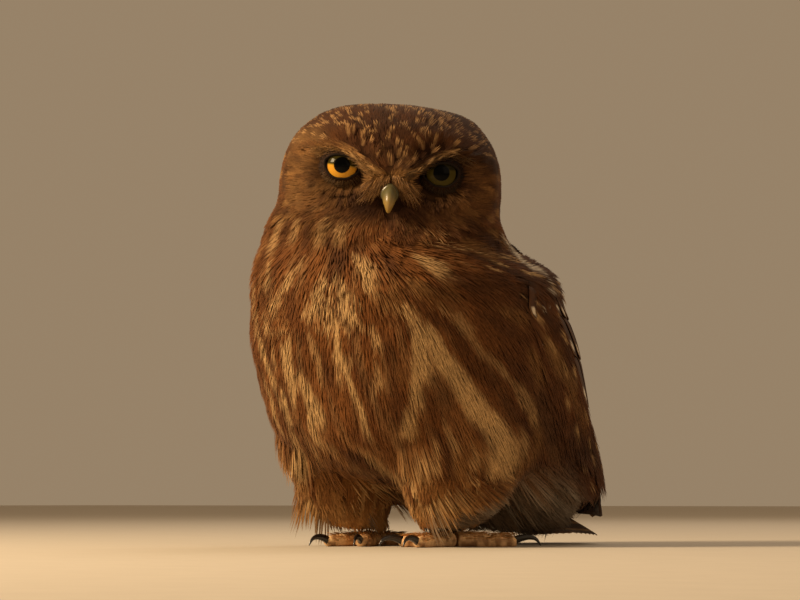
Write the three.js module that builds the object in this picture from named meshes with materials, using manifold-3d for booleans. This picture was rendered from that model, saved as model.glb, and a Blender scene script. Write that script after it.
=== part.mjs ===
// A life-size still model of a little owl, perched upright and plump, its head turned to its left.
// Millimetres, +Z up. The bird faces -Y, its left side is +X, and its feet stand on the plane z = 0.
import * as THREE from "three";
import Module from "manifold-3d";

const wasm = await Module();
wasm.setup();

// Driving dimensions, in millimetres and degrees.
const GAP = 0.3; // between neighbouring pieces
const HEAD_YAW = 38.5; // the face turns this far towards the bird's left
const HEAD_ROLL = 4.5; // the left eye sits lower than the right
const HEAD_PIVOT = new THREE.Vector3(0, 0, 140);
const HEAD_TURNED_UP_TO = 5.2; // stations above this one turn with the head
const BODY_STARTS_AT = 7.6; // stations below this one keep the body's own line
const CHIN_CUT = 6.05; // station where the head meets the neck
const SHOULDER_CUT = 6.95; // station where the neck meets the torso
const BODY_END = 14.05; // station where the undertail coverts close
const END_ROUND = 1.5; // stations over which they close
const BODY_RINGS = 30;
const BODY_SIDES = 36;

const EYE_OUT = 18.2;
const EYE_FRONT = -27.2;
const EYE_HEIGHT = 141.2;
const EYE_RADIUS = 8.7;
const EYE_SPLAY = 3; // degrees that each eye looks outwards
const LID_THICKNESS = 1.1;
const LID_INNER = 46; // degrees from the eye's axis to the rim of the opening
const LID_OUTER = 68;

const BILL_WIDTH = 6.2;
const BILL_DEPTH = 7.4;
const NOSTRIL_RADIUS = 0.75;

const FOOT_OUT = 19;
const FOOT_BACK = 14;
const TOE_RADIUS = 3.1;
const CLAW_RADIUS = 1.45;
const CLAW_LENGTH = 10.5;

const WING_START = 6.75; // station at the shoulder
const WING_END = 14.78; // station at the wing tip
const TAIL_START = 12.1;
const TAIL_END = 15.2;
const TAIL_FEATHERS = 12;
const VANE_THICKNESS = 0.7;

// The side outline, as stations from the crown to the tail tip: the front (belly) point and the back point
// in the bird's middle plane, each [y, z], with the half width, a squareness (2 is an ellipse), how far the
// widest place lies towards the front and how far the section leans to the left.
const STATIONS = [
  { front: [4, 171.5], back: [4, 171.5], half: 0, square: 2, egg: 0, lean: 2.4 }, // crown
  { front: [-18, 167.5], back: [25, 168], half: 24.8, square: 2.1, egg: 0.02, lean: 2 },
  { front: [-31, 158.5], back: [38, 159.5], half: 36.2, square: 2.2, egg: 0.05, lean: 0.5 }, // forehead
  { front: [-36.5, 149], back: [44, 148], half: 41, square: 2.4, egg: 0.08, lean: 0.1 }, // brow
  { front: [-38.5, 138.5], back: [47, 137.5], half: 42.5, square: 2.5, egg: 0.08, lean: 0 }, // eyes
  { front: [-39, 128.5], back: [49, 127], half: 43.4, square: 2.4, egg: 0.06, lean: 0 }, // bill
  { front: [-42, 117], back: [54, 117], half: 49, square: 2.2, egg: 0.02, lean: 0 }, // throat
  { front: [-49.5, 101], back: [62, 107], half: 55.5, square: 2.2, egg: 0, lean: 0 }, // shoulder
  { front: [-51, 82], back: [71, 95], half: 57, square: 2.25, egg: 0, lean: 0 }, // breast
  { front: [-46.5, 62], back: [80.5, 82], half: 56.5, square: 2.35, egg: 0, lean: 0 }, // belly
  { front: [-38.5, 44], back: [89.5, 68], half: 54.5, square: 2.35, egg: 0.02, lean: 0 }, // flank
  { front: [-24, 30], back: [98, 54], half: 50.5, square: 2.35, egg: 0.04, lean: 0 }, // thigh
  { front: [4, 21.5], back: [106, 41], half: 43.5, square: 2.35, egg: 0.02, lean: 0 }, // vent
  { front: [40, 13.5], back: [113, 28], half: 36, square: 2.3, egg: 0, lean: 0 }, // rump
  { front: [80, 6.5], back: [119, 16], half: 29, square: 2.2, egg: 0, lean: 0 }, // tail
  { front: [114, 2.2], back: [125, 6.5], half: 23, square: 2.2, egg: 0, lean: 0 }, // tail tip
];
const LAST = STATIONS.length - 1;

const COLOURS = {
  coat: 0x7a5332,
  wing: 0x5d3f28,
  tail: 0x5a3e28,
  legs: 0xb08a5c,
  toes: 0x8a6b48,
  claws: 0x1c1613,
  bill: 0xb5a763,
  eyes: 0xe0a325,
  lids: 0x2a1e16,
};

const radians = THREE.MathUtils.degToRad;
const mix = THREE.MathUtils.lerp;
const clamp = THREE.MathUtils.clamp;
const ease = (x, from, to) => THREE.MathUtils.smoothstep(x, from, to);

// One value of the stations at t, through a uniform Catmull-Rom curve.
function station(read, t) {
  const place = clamp(t, 0, LAST);
  const i = Math.min(Math.floor(place), LAST - 1);
  const s = place - i + (t > LAST ? t - LAST : 0);
  const at = (k) => read(STATIONS[clamp(k, 0, LAST)]);
  const [a, b, c, d] = [at(i - 1), at(i), at(i + 1), at(i + 2)];
  const slope = c - a;
  const bend = 2 * a - 5 * b + 4 * c - d;
  const twist = -a + 3 * b - 3 * c + d;
  return 0.5 * (2 * b + slope * s + bend * s * s + twist * s ** 3);
}

// Turns a point of the straight bird with the head, by weight 0 (body) to 1 (head).
function turnWithHead(point, weight = 1) {
  const yaw = radians(HEAD_YAW) * weight;
  const roll = radians(HEAD_ROLL) * weight;
  return point
    .sub(HEAD_PIVOT)
    .applyAxisAngle(new THREE.Vector3(0, 1, 0), roll)
    .applyAxisAngle(new THREE.Vector3(0, 0, 1), yaw)
    .add(HEAD_PIVOT);
}

// The middle of the section at station t, and the half vector from there to its back point.
function section(t) {
  const front = [0, 1].map((k) => station((row) => row.front[k], t));
  const back = [0, 1].map((k) => station((row) => row.back[k], t));
  return {
    middle: new THREE.Vector3(0, (front[0] + back[0]) / 2, (front[1] + back[1]) / 2),
    reach: new THREE.Vector3(0, (back[0] - front[0]) / 2, (back[1] - front[1]) / 2),
    half: station((row) => row.half, t),
    square: station((row) => row.square, t),
    egg: station((row) => row.egg, t),
    lean: station((row) => row.lean, t),
  };
}

// The coat's outline at station t and angle a, in radians from the belly towards the left side.
function outline(t, a, shrink = 1) {
  const { middle, reach, half, square, egg, lean } = section(t);
  const c = Math.cos(a);
  const s = Math.sin(a);
  const r = shrink / (Math.abs(c) ** square + Math.abs(s) ** square) ** (1 / square);
  const point = middle.clone().addScaledVector(reach, -c * r);
  point.x += lean + half * r * s * (1 + egg * c);
  return turnWithHead(point, 1 - ease(t, HEAD_TURNED_UP_TO, BODY_STARTS_AT));
}

// The outline moved outwards by lift, along its normal.
function coat(t, a, lift = 0, shrink = 1) {
  const point = outline(t, a, shrink);
  if (lift === 0) return point;
  const step = 0.02;
  const t0 = Math.max(t, 0.15);
  const down = outline(t0 + step, a, shrink).sub(outline(t0 - step, a, shrink));
  const round = outline(t0, a + step, shrink).sub(outline(t0, a - step, shrink));
  return point.addScaledVector(down.cross(round).normalize(), lift);
}

// A closed solid from vertices and triangles.
function solid(points, triangles) {
  const vertProperties = new Float32Array(points.flatMap((p) => [p.x, p.y, p.z]));
  const made = new wasm.Manifold(
    new wasm.Mesh({ numProp: 3, vertProperties, triVerts: new Uint32Array(triangles) }),
  );
  return made.volume() < 0
    ? solid(points, triangles.map((_, i, all) => all[i - (i % 3) + [0, 2, 1][i % 3]]))
    : made;
}

// Rings of points closed by a fan to the middle of the first and of the last.
function loft(rings) {
  const sides = rings[0].length;
  const centre = (ring) =>
    ring.reduce((sum, p) => sum.add(p), new THREE.Vector3()).divideScalar(sides);
  const points = [...rings.flat(), centre(rings[0]), centre(rings[rings.length - 1])];
  const triangles = [];
  for (let i = 0; i + 1 < rings.length; i++)
    for (let j = 0; j < sides; j++) {
      const k = (j + 1) % sides;
      const [a, b, c, d] = [i * sides + j, i * sides + k, (i + 1) * sides + k, (i + 1) * sides + j];
      triangles.push(a, b, c, a, c, d);
    }
  const top = rings.length * sides;
  const foot = (rings.length - 1) * sides;
  for (let j = 0; j < sides; j++) {
    const k = (j + 1) % sides;
    triangles.push(top, k, j, top + 1, foot + j, foot + k);
  }
  return solid(points, triangles);
}

// A thin plate: at(s, q, face) gives a point for s along and q across, on face 1 (outer) or 0 (inner).
function plate(along, across, at) {
  const row = across + 1;
  const face = (along + 1) * row;
  const points = [];
  for (const side of [1, 0])
    for (let i = 0; i <= along; i++)
      for (let j = 0; j <= across; j++) points.push(at(i / along, (2 * j) / across - 1, side));
  const triangles = [];
  for (let i = 0; i < along; i++)
    for (let j = 0; j < across; j++) {
      const [a, b] = [i * row + j, i * row + j + 1];
      const [c, d] = [b + row, a + row];
      triangles.push(a, b, c, a, c, d);
      triangles.push(face + a, face + c, face + b, face + a, face + d, face + c);
    }
  const rim = [];
  for (let j = 0; j < across; j++) rim.push(j);
  for (let i = 0; i < along; i++) rim.push(i * row + across);
  for (let j = across; j > 0; j--) rim.push(along * row + j);
  for (let i = along; i > 0; i--) rim.push(i * row);
  rim.forEach((a, n) => {
    const b = rim[(n + 1) % rim.length];
    triangles.push(a, face + a, face + b, a, face + b, b);
  });
  return solid(points, triangles);
}

// A tapering tube of round or oval section along points, with a radius for each.
function taper(path, radii, sides = 8, flatten = 1) {
  const curve = new THREE.CatmullRomCurve3(path, false, "centripetal");
  const steps = radii.length - 1;
  const rings = radii.map((radius, i) => {
    const centre = curve.getPoint(i / steps);
    const ahead = curve.getTangent(i / steps);
    const across = new THREE.Vector3(0, 0, 1).cross(ahead);
    if (across.length() < 0.05) across.set(1, 0, 0);
    across.normalize();
    const up = ahead.clone().cross(across).normalize();
    return Array.from({ length: sides }, (_, j) => {
      const a = (2 * Math.PI * (j + 0.5)) / sides;
      return centre
        .clone()
        .addScaledVector(across, radius * Math.cos(a))
        .addScaledVector(up, radius * flatten * Math.sin(a));
    });
  });
  return loft(rings);
}

// A three.js geometry moved by a matrix, as a solid.
function fromGeometry(geometry, matrix = new THREE.Matrix4()) {
  const position = geometry.applyMatrix4(matrix).getAttribute("position");
  const index = geometry.index ? [...geometry.index.array] : [...Array(position.count).keys()];
  const keys = new Map();
  const points = [];
  const merged = Array.from({ length: position.count }, (_, i) => {
    const p = new THREE.Vector3().fromBufferAttribute(position, i);
    const key = p.toArray().map((x) => Math.round(x * 1e4)).join();
    if (!keys.has(key)) keys.set(key, points.push(p) - 1);
    return keys.get(key);
  });
  const triangles = [];
  for (let i = 0; i < index.length; i += 3) {
    const [a, b, c] = [0, 1, 2].map((k) => merged[index[i + k]]);
    if (a !== b && b !== c && a !== c) triangles.push(a, b, c);
  }
  return solid(points, triangles);
}

const union = (parts) => parts.reduce((whole, part) => whole.add(part));

function largest(made) {
  return made.decompose().reduce((best, part) => (part.volume() > best.volume() ? part : best));
}

// The plane through the section at station t, as its unit normal (towards the tail) and offset.
function cutPlane(t) {
  const weight = 1 - ease(t, HEAD_TURNED_UP_TO, BODY_STARTS_AT);
  const { middle, reach } = section(t);
  const origin = turnWithHead(middle.clone(), weight);
  const along = turnWithHead(middle.clone().add(reach), weight).sub(origin);
  const aside = turnWithHead(middle.clone().add(new THREE.Vector3(1, 0, 0)), weight).sub(origin);
  const normal = aside.cross(along).normalize();
  if (normal.z > 0) normal.negate();
  return { normal, offset: normal.dot(origin) };
}

// Keeps what lies on the crown's side of the section at t, or on the tail's side, half a gap away.
function keepAbove(made, t) {
  const { normal, offset } = cutPlane(t);
  return made.trimByPlane(normal.clone().negate().toArray(), -offset + GAP / 2);
}

function keepBelow(made, t) {
  const { normal, offset } = cutPlane(t);
  return made.trimByPlane(normal.toArray(), offset + GAP / 2);
}

// Body

// The whole coat from the crown to the undertail coverts.
function bodySolid(lift = 0) {
  const rings = Array.from({ length: BODY_RINGS }, (_, i) => {
    const t = 0.06 + (BODY_END - 0.08) * (i / (BODY_RINGS - 1));
    const close = clamp((t - BODY_END + END_ROUND) / END_ROUND, 0, 1);
    const shrink = Math.sqrt(Math.max(1 - close ** 2.5, 0.002));
    return Array.from({ length: BODY_SIDES }, (_, j) =>
      coat(t, (2 * Math.PI * j) / BODY_SIDES, lift, shrink),
    );
  });
  return loft(rings);
}

// Wings

const FRONT_EDGE = [96, 90, 93, 98, 104, 112, 122, 138]; // degrees, from the shoulder to the tip
const BACK_EDGE = [128, 158, 168, 172.5, 174.5, 175, 173, 162];
const INNER_FACE = [-4.6, -4.8, -4.4, -4, -3.6, -3.1, -2.6, -2.2]; // depth of the wing's underside

function ramp(values, x) {
  const place = clamp(x, 0, 1) * (values.length - 1);
  const i = Math.min(Math.floor(place), values.length - 2);
  return mix(values[i], values[i + 1], place - i);
}

// A point of a folded wing: run from the shoulder (0) to the tip (1), and over from its front edge (0) to its
// back edge (1).
function wingPoint(side, run, over, lift) {
  const angle = mix(ramp(FRONT_EDGE, run), ramp(BACK_EDGE, run), over);
  return coat(mix(WING_START, WING_END, run), side * radians(angle), lift);
}

const wingWidth = (run) => wingPoint(1, run, 0, 0).distanceTo(wingPoint(1, run, 1, 0));

// The tiers of a folded wing, from the lowest: how many vanes, where their roots and tips lie, and how they
// sit. A root or tip is [run, over] for the first vane (front edge) and for the last (back edge), and bow
// carries the tips between them farther out.
const TIERS = [
  {
    name: "primaries", count: 6, steps: 4, bow: 0.15, width: 3.9, lift: -1.5,
    root: [[0.6, 0.12], [0.66, 0.6]], tip: [[0.84, 0.14], [0.86, 0.7]],
  },
  {
    name: "secondaries", count: 6, steps: 3, bow: 0.02, width: 4.9, lift: -0.9,
    root: [[0.41, 0.1], [0.46, 0.9]], tip: [[0.65, 0.14], [0.8, 0.88]],
  },
  {
    name: "greater coverts", count: 6, steps: 3, bow: 0.01, width: 5.3, lift: -0.3,
    root: [[0.26, 0.08], [0.3, 0.84]], tip: [[0.46, 0.08], [0.5, 0.84]],
  },
  {
    name: "median coverts", count: 5, steps: 3, bow: 0, width: 5.9, lift: 0.3,
    root: [[0.11, 0.1], [0.14, 0.8]], tip: [[0.31, 0.09], [0.34, 0.78]],
  },
  {
    name: "scapulars", count: 4, steps: 3, bow: 0.02, width: 5.4, lift: 0.9,
    root: [[0.03, 0.56], [0.36, 0.95]], tip: [[0.24, 0.66], [0.6, 0.93]],
  },
];

// The width of a vane along its length: narrow at the root, full in the middle, rounded at the tip.
const vaneWidth = (s) => Math.min(0.45 + 1.6 * s, 1) * Math.sqrt(1 - clamp((s - 0.55) / 0.47, 0, 1) ** 2.4);

// One vane of a wing. Its front edge lies over the next vane, and its root and underside are sunk in the
// wing's slab.
function wingVane(side, tier, index) {
  const share = tier.count === 1 ? 0 : index / (tier.count - 1);
  const pick = (ends, k) => mix(ends[0][k], ends[1][k], share);
  const bow = tier.bow * Math.sin(Math.PI * (0.12 + 0.8 * share));
  const [rootRun, rootOver] = [pick(tier.root, 0), pick(tier.root, 1)];
  const [tipRun, tipOver] = [pick(tier.tip, 0) + bow, pick(tier.tip, 1)];
  return plate(tier.steps, 1, (s, q, face) => {
    const run = mix(rootRun, tipRun, s);
    const spread = (q * tier.width * vaneWidth(s)) / wingWidth(run);
    const over = clamp(mix(rootOver, tipOver, s) + spread, 0.005, 0.995);
    const sink = 1.3 * (1 - ease(s, 0, 0.4));
    const shingle = -0.6 * q;
    const floor = ramp(INNER_FACE, run) + 0.6;
    const top = Math.max(tier.lift + VANE_THICKNESS + shingle - sink, floor + 0.5);
    return wingPoint(side, run, over, face ? top : Math.min(floor, top - VANE_THICKNESS));
  });
}

// The room that a wing has from its underside outwards, or with grow over 0 the pocket it leaves in the
// body.
function wingRoom(side, grow = 0) {
  return plate(12, 5, (s, q, face) => {
    const edge = grow / wingWidth(s);
    const over = mix(-edge, 1 + edge, (q + 1) / 2);
    const past = s === 0 ? -grow / 90 : s === 1 ? grow / 60 : 0;
    return wingPoint(side, s + past, over, face ? 6 : ramp(INNER_FACE, s) - grow);
  });
}

// The slab that carries the vanes.
function wingCore(side) {
  return plate(12, 5, (s, q, face) => {
    const run = 0.9 * s;
    const inner = ramp(INNER_FACE, run) - 0.5;
    const outer = Math.min(-1.35, ramp(INNER_FACE, run) + 2.2);
    return wingPoint(side, run, (q + 1) / 2, face ? outer : inner);
  });
}

function wingSolid(side) {
  const vanes = TIERS.flatMap((tier) =>
    Array.from({ length: tier.count }, (_, i) => wingVane(side, tier, i)),
  );
  return largest(union([wingCore(side), ...vanes]).intersect(wingRoom(side)));
}

// Tail

const TAIL_HALF = 19;

// A point of the tail's sheet: run from its root to its tip, out sideways, and lifted towards the back.
function tailPoint(run, out, lift) {
  const t = mix(TAIL_START, TAIL_END, run);
  const { middle, reach } = section(Math.min(t, LAST));
  const beyond = section(LAST).middle.clone().sub(section(LAST - 0.1).middle).multiplyScalar(10);
  const up = reach.clone().normalize();
  const arch = (out * out) / 90;
  const point = middle.clone().addScaledVector(beyond, Math.max(t - LAST, 0));
  point.addScaledVector(up, lift - arch);
  point.x += out;
  return point;
}

function tailVane(index) {
  const place = (2 * index) / (TAIL_FEATHERS - 1) - 1;
  const tip = 1 - 0.05 * Math.abs(place) ** 2;
  return plate(3, 1, (s, q, face) => {
    const run = mix(0.12, tip, s);
    const out = place * mix(9, TAIL_HALF - 4.2, s) + q * 4.2 * vaneWidth(s);
    const top = 0.5 + 1.1 * (1 - Math.abs(place)) - 0.35 * q * Math.sign(place);
    return tailPoint(run, out, face ? top : -0.5);
  });
}

// The quills and the tail's underside, as one plate.
function tailCore() {
  return plate(4, 3, (s, q, face) =>
    tailPoint(0.93 * s, q * mix(11.5, TAIL_HALF - 1.5, s), face ? 0.1 : -1.2),
  );
}

// The slot that the tail leaves in the body.
function tailSlot() {
  return plate(6, 4, (s, q, face) =>
    tailPoint(mix(-0.01, 1.05, s), q * mix(14.6, TAIL_HALF + 1.6, s), face ? 2.4 : -2.4),
  );
}

function tailSolid() {
  const vanes = Array.from({ length: TAIL_FEATHERS }, (_, i) => tailVane(i));
  return union([tailCore(), ...vanes]);
}

// Head

const headPoint = (x, y, z) => turnWithHead(new THREE.Vector3(x, y, z));

// The matrix that puts a piece made along +Z at an eye, looking out of it.
function eyeMatrix(side) {
  const centre = headPoint(side * EYE_OUT, EYE_FRONT, EYE_HEIGHT);
  const splay = radians(EYE_SPLAY);
  const ahead = headPoint(
    side * (EYE_OUT + Math.sin(splay)),
    EYE_FRONT - Math.cos(splay),
    EYE_HEIGHT,
  ).sub(centre);
  const turn = new THREE.Quaternion().setFromUnitVectors(new THREE.Vector3(0, 0, 1), ahead);
  return new THREE.Matrix4().compose(centre, turn, new THREE.Vector3(1, 1, 1));
}

function eyeball(side, grow = 0) {
  return fromGeometry(new THREE.IcosahedronGeometry(EYE_RADIUS + grow, grow ? 2 : 3), eyeMatrix(side));
}

// The dish in the face that opens around each eye.
function orbit(side) {
  const out = (reach) => new THREE.Vector3(0, 0, reach).applyMatrix4(eyeMatrix(side));
  return taper([out(3.5), out(9), out(20)], [9.4, 10.8, 13.2, 17.5], 14);
}

// A ring of skin over the ball around the opening, with a rounded rim.
function lidRing(side, grow = 0) {
  const inner = EYE_RADIUS + GAP - grow;
  const outer = EYE_RADIUS + GAP + LID_THICKNESS + grow;
  const open = radians(LID_INNER) - grow / EYE_RADIUS;
  const end = radians(LID_OUTER) + grow / EYE_RADIUS;
  const at = (r, a) => new THREE.Vector2(r * Math.sin(a), r * Math.cos(a));
  const middle = (open + end) / 2;
  const profile = [
    at(inner, open), at(inner, middle), at(inner, end),
    at(outer, end), at(outer + 0.2, middle), at(outer - 0.25, open + 0.06), at(inner, open),
  ];
  return fromGeometry(new THREE.LatheGeometry(profile, 16).rotateX(Math.PI / 2), eyeMatrix(side));
}

// The upper or lower half of a lid ring, parted along the eye's slanting corners.
function lid(side, upper) {
  const centre = headPoint(side * EYE_OUT, EYE_FRONT, EYE_HEIGHT);
  const slant = side * 0.1;
  const normal = headPoint(side * EYE_OUT + slant, EYE_FRONT, EYE_HEIGHT + 1).sub(centre).normalize();
  const facing = upper ? normal : normal.negate();
  return largest(lidRing(side).trimByPlane(facing.toArray(), facing.dot(centre) + GAP / 2));
}

// The pale brow: a tapering ridge from the bill's root, over the eye and out to the temple.
function brow(side) {
  const path = [
    [3.2, -38.5, 137], [8, -39.5, 141.5], [13.5, -39.2, 146.8],
    [20, -37.5, 150], [27.5, -33.5, 150.8], [33.5, -28, 149.5],
  ].map(([x, y, z]) => headPoint(side * x, y, z));
  return taper(path, [2, 3, 3.1, 2.9, 2.3, 1.2], 6, 0.8);
}

// The rim of a facial disc, from beside the brow down under the eye to the chin.
function discRim(side) {
  const path = [
    [36, -26, 148], [38.5, -24, 140], [36, -27.5, 130],
    [28, -34, 121.5], [17, -38.5, 117.5], [7, -40, 117],
  ].map(([x, y, z]) => headPoint(side * x, y, z));
  return taper(path, [1, 2.4, 3, 2.6, 1], 6);
}

// The bill in the head's own frame: the upper half's path and sizes.
const BILL_PATH = [[-33, 133.4], [-38.8, 132.8], [-42.8, 130.8], [-44.7, 127.6], [-43.6, 124]];
const BILL_SIZES = [1, 0.95, 0.78, 0.5, 0.12];

function billRings(grow) {
  return (place, size) => {
    const [y, z] = place;
    const w = (size * BILL_WIDTH) / 2 + grow;
    const d = (size * BILL_DEPTH) / 2 + grow;
    return { y, z, w, d };
  };
}

// Rings across the bill, each leaning with its path.
function billSolid(path, sizes, grow = 0, scale = 1) {
  const measure = billRings(grow);
  const curve = new THREE.CatmullRomCurve3(path.map(([y, z]) => new THREE.Vector3(0, y, z)));
  const steps = 7;
  const rings = Array.from({ length: steps + 1 }, (_, i) => {
    const at = curve.getPoint(i / steps);
    const ahead = curve.getTangent(i / steps);
    const up = new THREE.Vector3(0, -ahead.z, ahead.y).multiplyScalar(-1);
    const { w, d } = measure([at.y, at.z], ramp(sizes, i / steps) * scale);
    return Array.from({ length: 12 }, (_, j) => {
      const a = (2 * Math.PI * j) / 12;
      const keel = 1 - 0.22 * Math.max(Math.cos(a), 0);
      const p = new THREE.Vector3(w * Math.sin(a) * keel, at.y, at.z).addScaledVector(up, d * Math.cos(a));
      return turnWithHead(p);
    });
  });
  return loft(rings);
}

const LOWER_PATH = [[-32, 129.3], [-37, 127.9], [-40.4, 126], [-41.8, 124]];
const LOWER_SIZES = [0.72, 0.66, 0.5, 0.16];

function nostril(side) {
  const from = headPoint(side * 0.9, -40, 133.3);
  const to = headPoint(side * 6, -42.6, 134.1);
  return taper([from, to], [NOSTRIL_RADIUS, NOSTRIL_RADIUS, NOSTRIL_RADIUS], 8);
}

// The plane across the bill where the cere ends.
function cereSplit() {
  const a = headPoint(0, -40.9, 132.2);
  const normal = headPoint(0, -41.8, 131.5).sub(a).normalize();
  return { normal, offset: normal.dot(a) };
}

// Legs and feet

// The feathered thighs as level ovals down the left leg: height, middle out and back, half width and half
// length.
const THIGH = [
  [56, 26, 14, 15, 24],
  [43, 27, 9, 20, 29],
  [31, 26.8, 6, 19, 30],
  [21, 25.5, 4.5, 16, 28],
  [13, 24, 5, 12.5, 21],
  [9, 22, 7, 9.8, 15.5],
  [7.4, 20.5, 9, 7.4, 10.5],
];

function thigh(side, grow = 0) {
  const rings = THIGH.map(([height, out, back, wide, long], row) => {
    const z = height - (row === THIGH.length - 1 ? grow : 0);
    return Array.from({ length: 20 }, (_, j) => {
      const a = (2 * Math.PI * j) / 20;
      const across = (wide + grow) * Math.cos(a);
      return new THREE.Vector3(side * out + across, back + (long + grow) * Math.sin(a), z);
    });
  });
  return loft(rings);
}

// The feathered shank between the trousers and the toes.
function shank(side, grow = 0) {
  const path = [
    [20.5, 6, 18], [19.6, 9, 12],
    [FOOT_OUT, FOOT_BACK - 1, 6.4], [FOOT_OUT, FOOT_BACK, 2.6 - grow],
  ];
  return taper(
    path.map(([x, y, z]) => new THREE.Vector3(side * x, y, z)),
    [5.2, 5, 5.2, 5.6, 4.2].map((r) => r + grow),
    12,
  );
}

// Each toe's heading in degrees from straight ahead, outwards, with its length.
const TOES = [
  { name: "inner", heading: -24, length: 18 },
  { name: "middle", heading: 6, length: 22 },
  { name: "outer", heading: 122, length: 20 },
  { name: "hind", heading: 188, length: 12 },
];

function toeFrame(side, toe) {
  const heading = radians(toe.heading);
  const ahead = new THREE.Vector3(side * Math.sin(heading), -Math.cos(heading), 0);
  const from = new THREE.Vector3(side * FOOT_OUT, FOOT_BACK, 0).addScaledVector(ahead, 4.4);
  return (reach, height) => from.clone().addScaledVector(ahead, reach).setZ(height);
}

// A toe in three pads, cut flat where it stands.
function toeSolid(side, toe, grow = 0) {
  const at = toeFrame(side, toe);
  const path = [at(-2, 2.5), at(toe.length * 0.3, 2.25), at(toe.length * 0.65, 2), at(toe.length, 1.9)];
  const radii = [0.96, 1.06, 0.9, 1, 0.86, 0.72].map((k) => k * TOE_RADIUS + grow);
  return taper(path, radii, 8, 0.95).trimByPlane([0, 0, 1], 0);
}

// A curved claw from the toe's end down to the ground.
function clawSolid(side, toe) {
  const at = toeFrame(side, toe);
  const arch = [[-0.06, 2.3], [0.3, 3.7], [0.68, 3.1], [0.9, 0.6]];
  const path = arch.map(([share, height]) => at(toe.length + share * CLAW_LENGTH, height));
  const radii = [1, 0.95, 0.78, 0.5, 0.2].map((k) => k * CLAW_RADIUS);
  return taper(path, radii, 7).trimByPlane([0, 0, 1], 0);
}

// Assembly

function geometryOf(made) {
  const mesh = made.getMesh();
  const geometry = new THREE.BufferGeometry();
  const position = new Float32Array(mesh.numVert * 3);
  for (let i = 0; i < mesh.numVert; i++)
    position.set(mesh.vertProperties.subarray(i * mesh.numProp, i * mesh.numProp + 3), i * 3);
  geometry.setAttribute("position", new THREE.BufferAttribute(position, 3));
  geometry.setIndex(new THREE.BufferAttribute(mesh.triVerts, 1));
  geometry.computeVertexNormals();
  return geometry;
}

const owl = new THREE.Group();

function addNode(name, made, finish, roughness = 0.85) {
  const material = new THREE.MeshStandardMaterial({ color: COLOURS[finish], roughness, metalness: 0 });
  const mesh = new THREE.Mesh(geometryOf(made), material);
  mesh.name = name;
  owl.add(mesh);
}

const SIDES = [["left", 1], ["right", -1]];

function build() {
  const pockets = SIDES.map(([, side]) => wingRoom(side, GAP));
  const body = pockets.reduce((rest, pocket) => rest.subtract(pocket), bodySolid());
  const grown = bodySolid(GAP);

  const lower = keepBelow(body, SHOULDER_CUT).subtract(tailSlot());
  const neck = keepAbove(keepBelow(body, CHIN_CUT), SHOULDER_CUT);
  const bill = billSolid(BILL_PATH, BILL_SIZES);
  const lowerBill = billSolid(LOWER_PATH, LOWER_SIZES);
  const features = SIDES.flatMap(([, side]) => [brow(side), discRim(side)]);
  const hollows = SIDES.flatMap(([, side]) => [eyeball(side, GAP), lidRing(side, GAP)]);
  const billHole = [billSolid(BILL_PATH, BILL_SIZES, GAP), billSolid(LOWER_PATH, LOWER_SIZES, GAP)];
  const orbits = union(SIDES.map(([, side]) => orbit(side)));
  const head = keepAbove(union([body.subtract(orbits), ...features]), CHIN_CUT);
  addNode("head", largest(head.subtract(union([...hollows, ...billHole]))), "coat");
  addNode("neck", largest(neck), "coat");
  addNode("torso", largest(lower), "coat");

  const cere = cereSplit();
  const nostrils = SIDES.map(([, side]) => nostril(side));
  const root = bill.trimByPlane(cere.normal.clone().negate().toArray(), -cere.offset + GAP / 2);
  addNode("cere", largest(root.subtract(union(nostrils))), "bill", 0.5);
  addNode("bill_upper", bill.trimByPlane(cere.normal.toArray(), cere.offset + GAP / 2), "bill", 0.4);
  addNode("bill_lower", largest(lowerBill.subtract(billSolid(BILL_PATH, BILL_SIZES, GAP))), "bill", 0.4);

  for (const [label, side] of SIDES) {
    addNode("eye_" + label, eyeball(side), "eyes", 0.1);
    addNode("eyelid_upper_" + label, lid(side, true), "lids");
    addNode("eyelid_lower_" + label, lid(side, false), "lids");
    addNode("wing_" + label, wingSolid(side), "wing");
    addNode("thigh_" + label, largest(thigh(side).subtract(grown)), "legs");
  }
  const wingPockets = union(pockets);
  addNode("tail", largest(tailSolid().subtract(wingPockets)), "tail");

  for (const [label, side] of SIDES) {
    const above = union([grown, thigh(side, GAP)]);
    addNode("shank_" + label, largest(shank(side).subtract(above)), "legs");
    let taken = above.add(shank(side, GAP));
    for (const toe of TOES) {
      addNode(`toe_${toe.name}_${label}`, largest(toeSolid(side, toe).subtract(taken)), "toes");
      taken = taken.add(toeSolid(side, toe, GAP));
      addNode(`claw_${toe.name}_${label}`, largest(clawSolid(side, toe).subtract(taken)), "claws", 0.35);
    }
  }
}

build();

// The origin is on the floor under the middle of the whole model.
const box = new THREE.Box3().setFromObject(owl);
const middle = box.getCenter(new THREE.Vector3());
owl.position.set(-middle.x, -middle.y, -box.min.z);

export default owl;
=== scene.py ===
"""A life-size still model of a little owl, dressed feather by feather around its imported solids."""
import logging
import math
from dataclasses import dataclass
from enum import Enum
from typing import Callable

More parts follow.
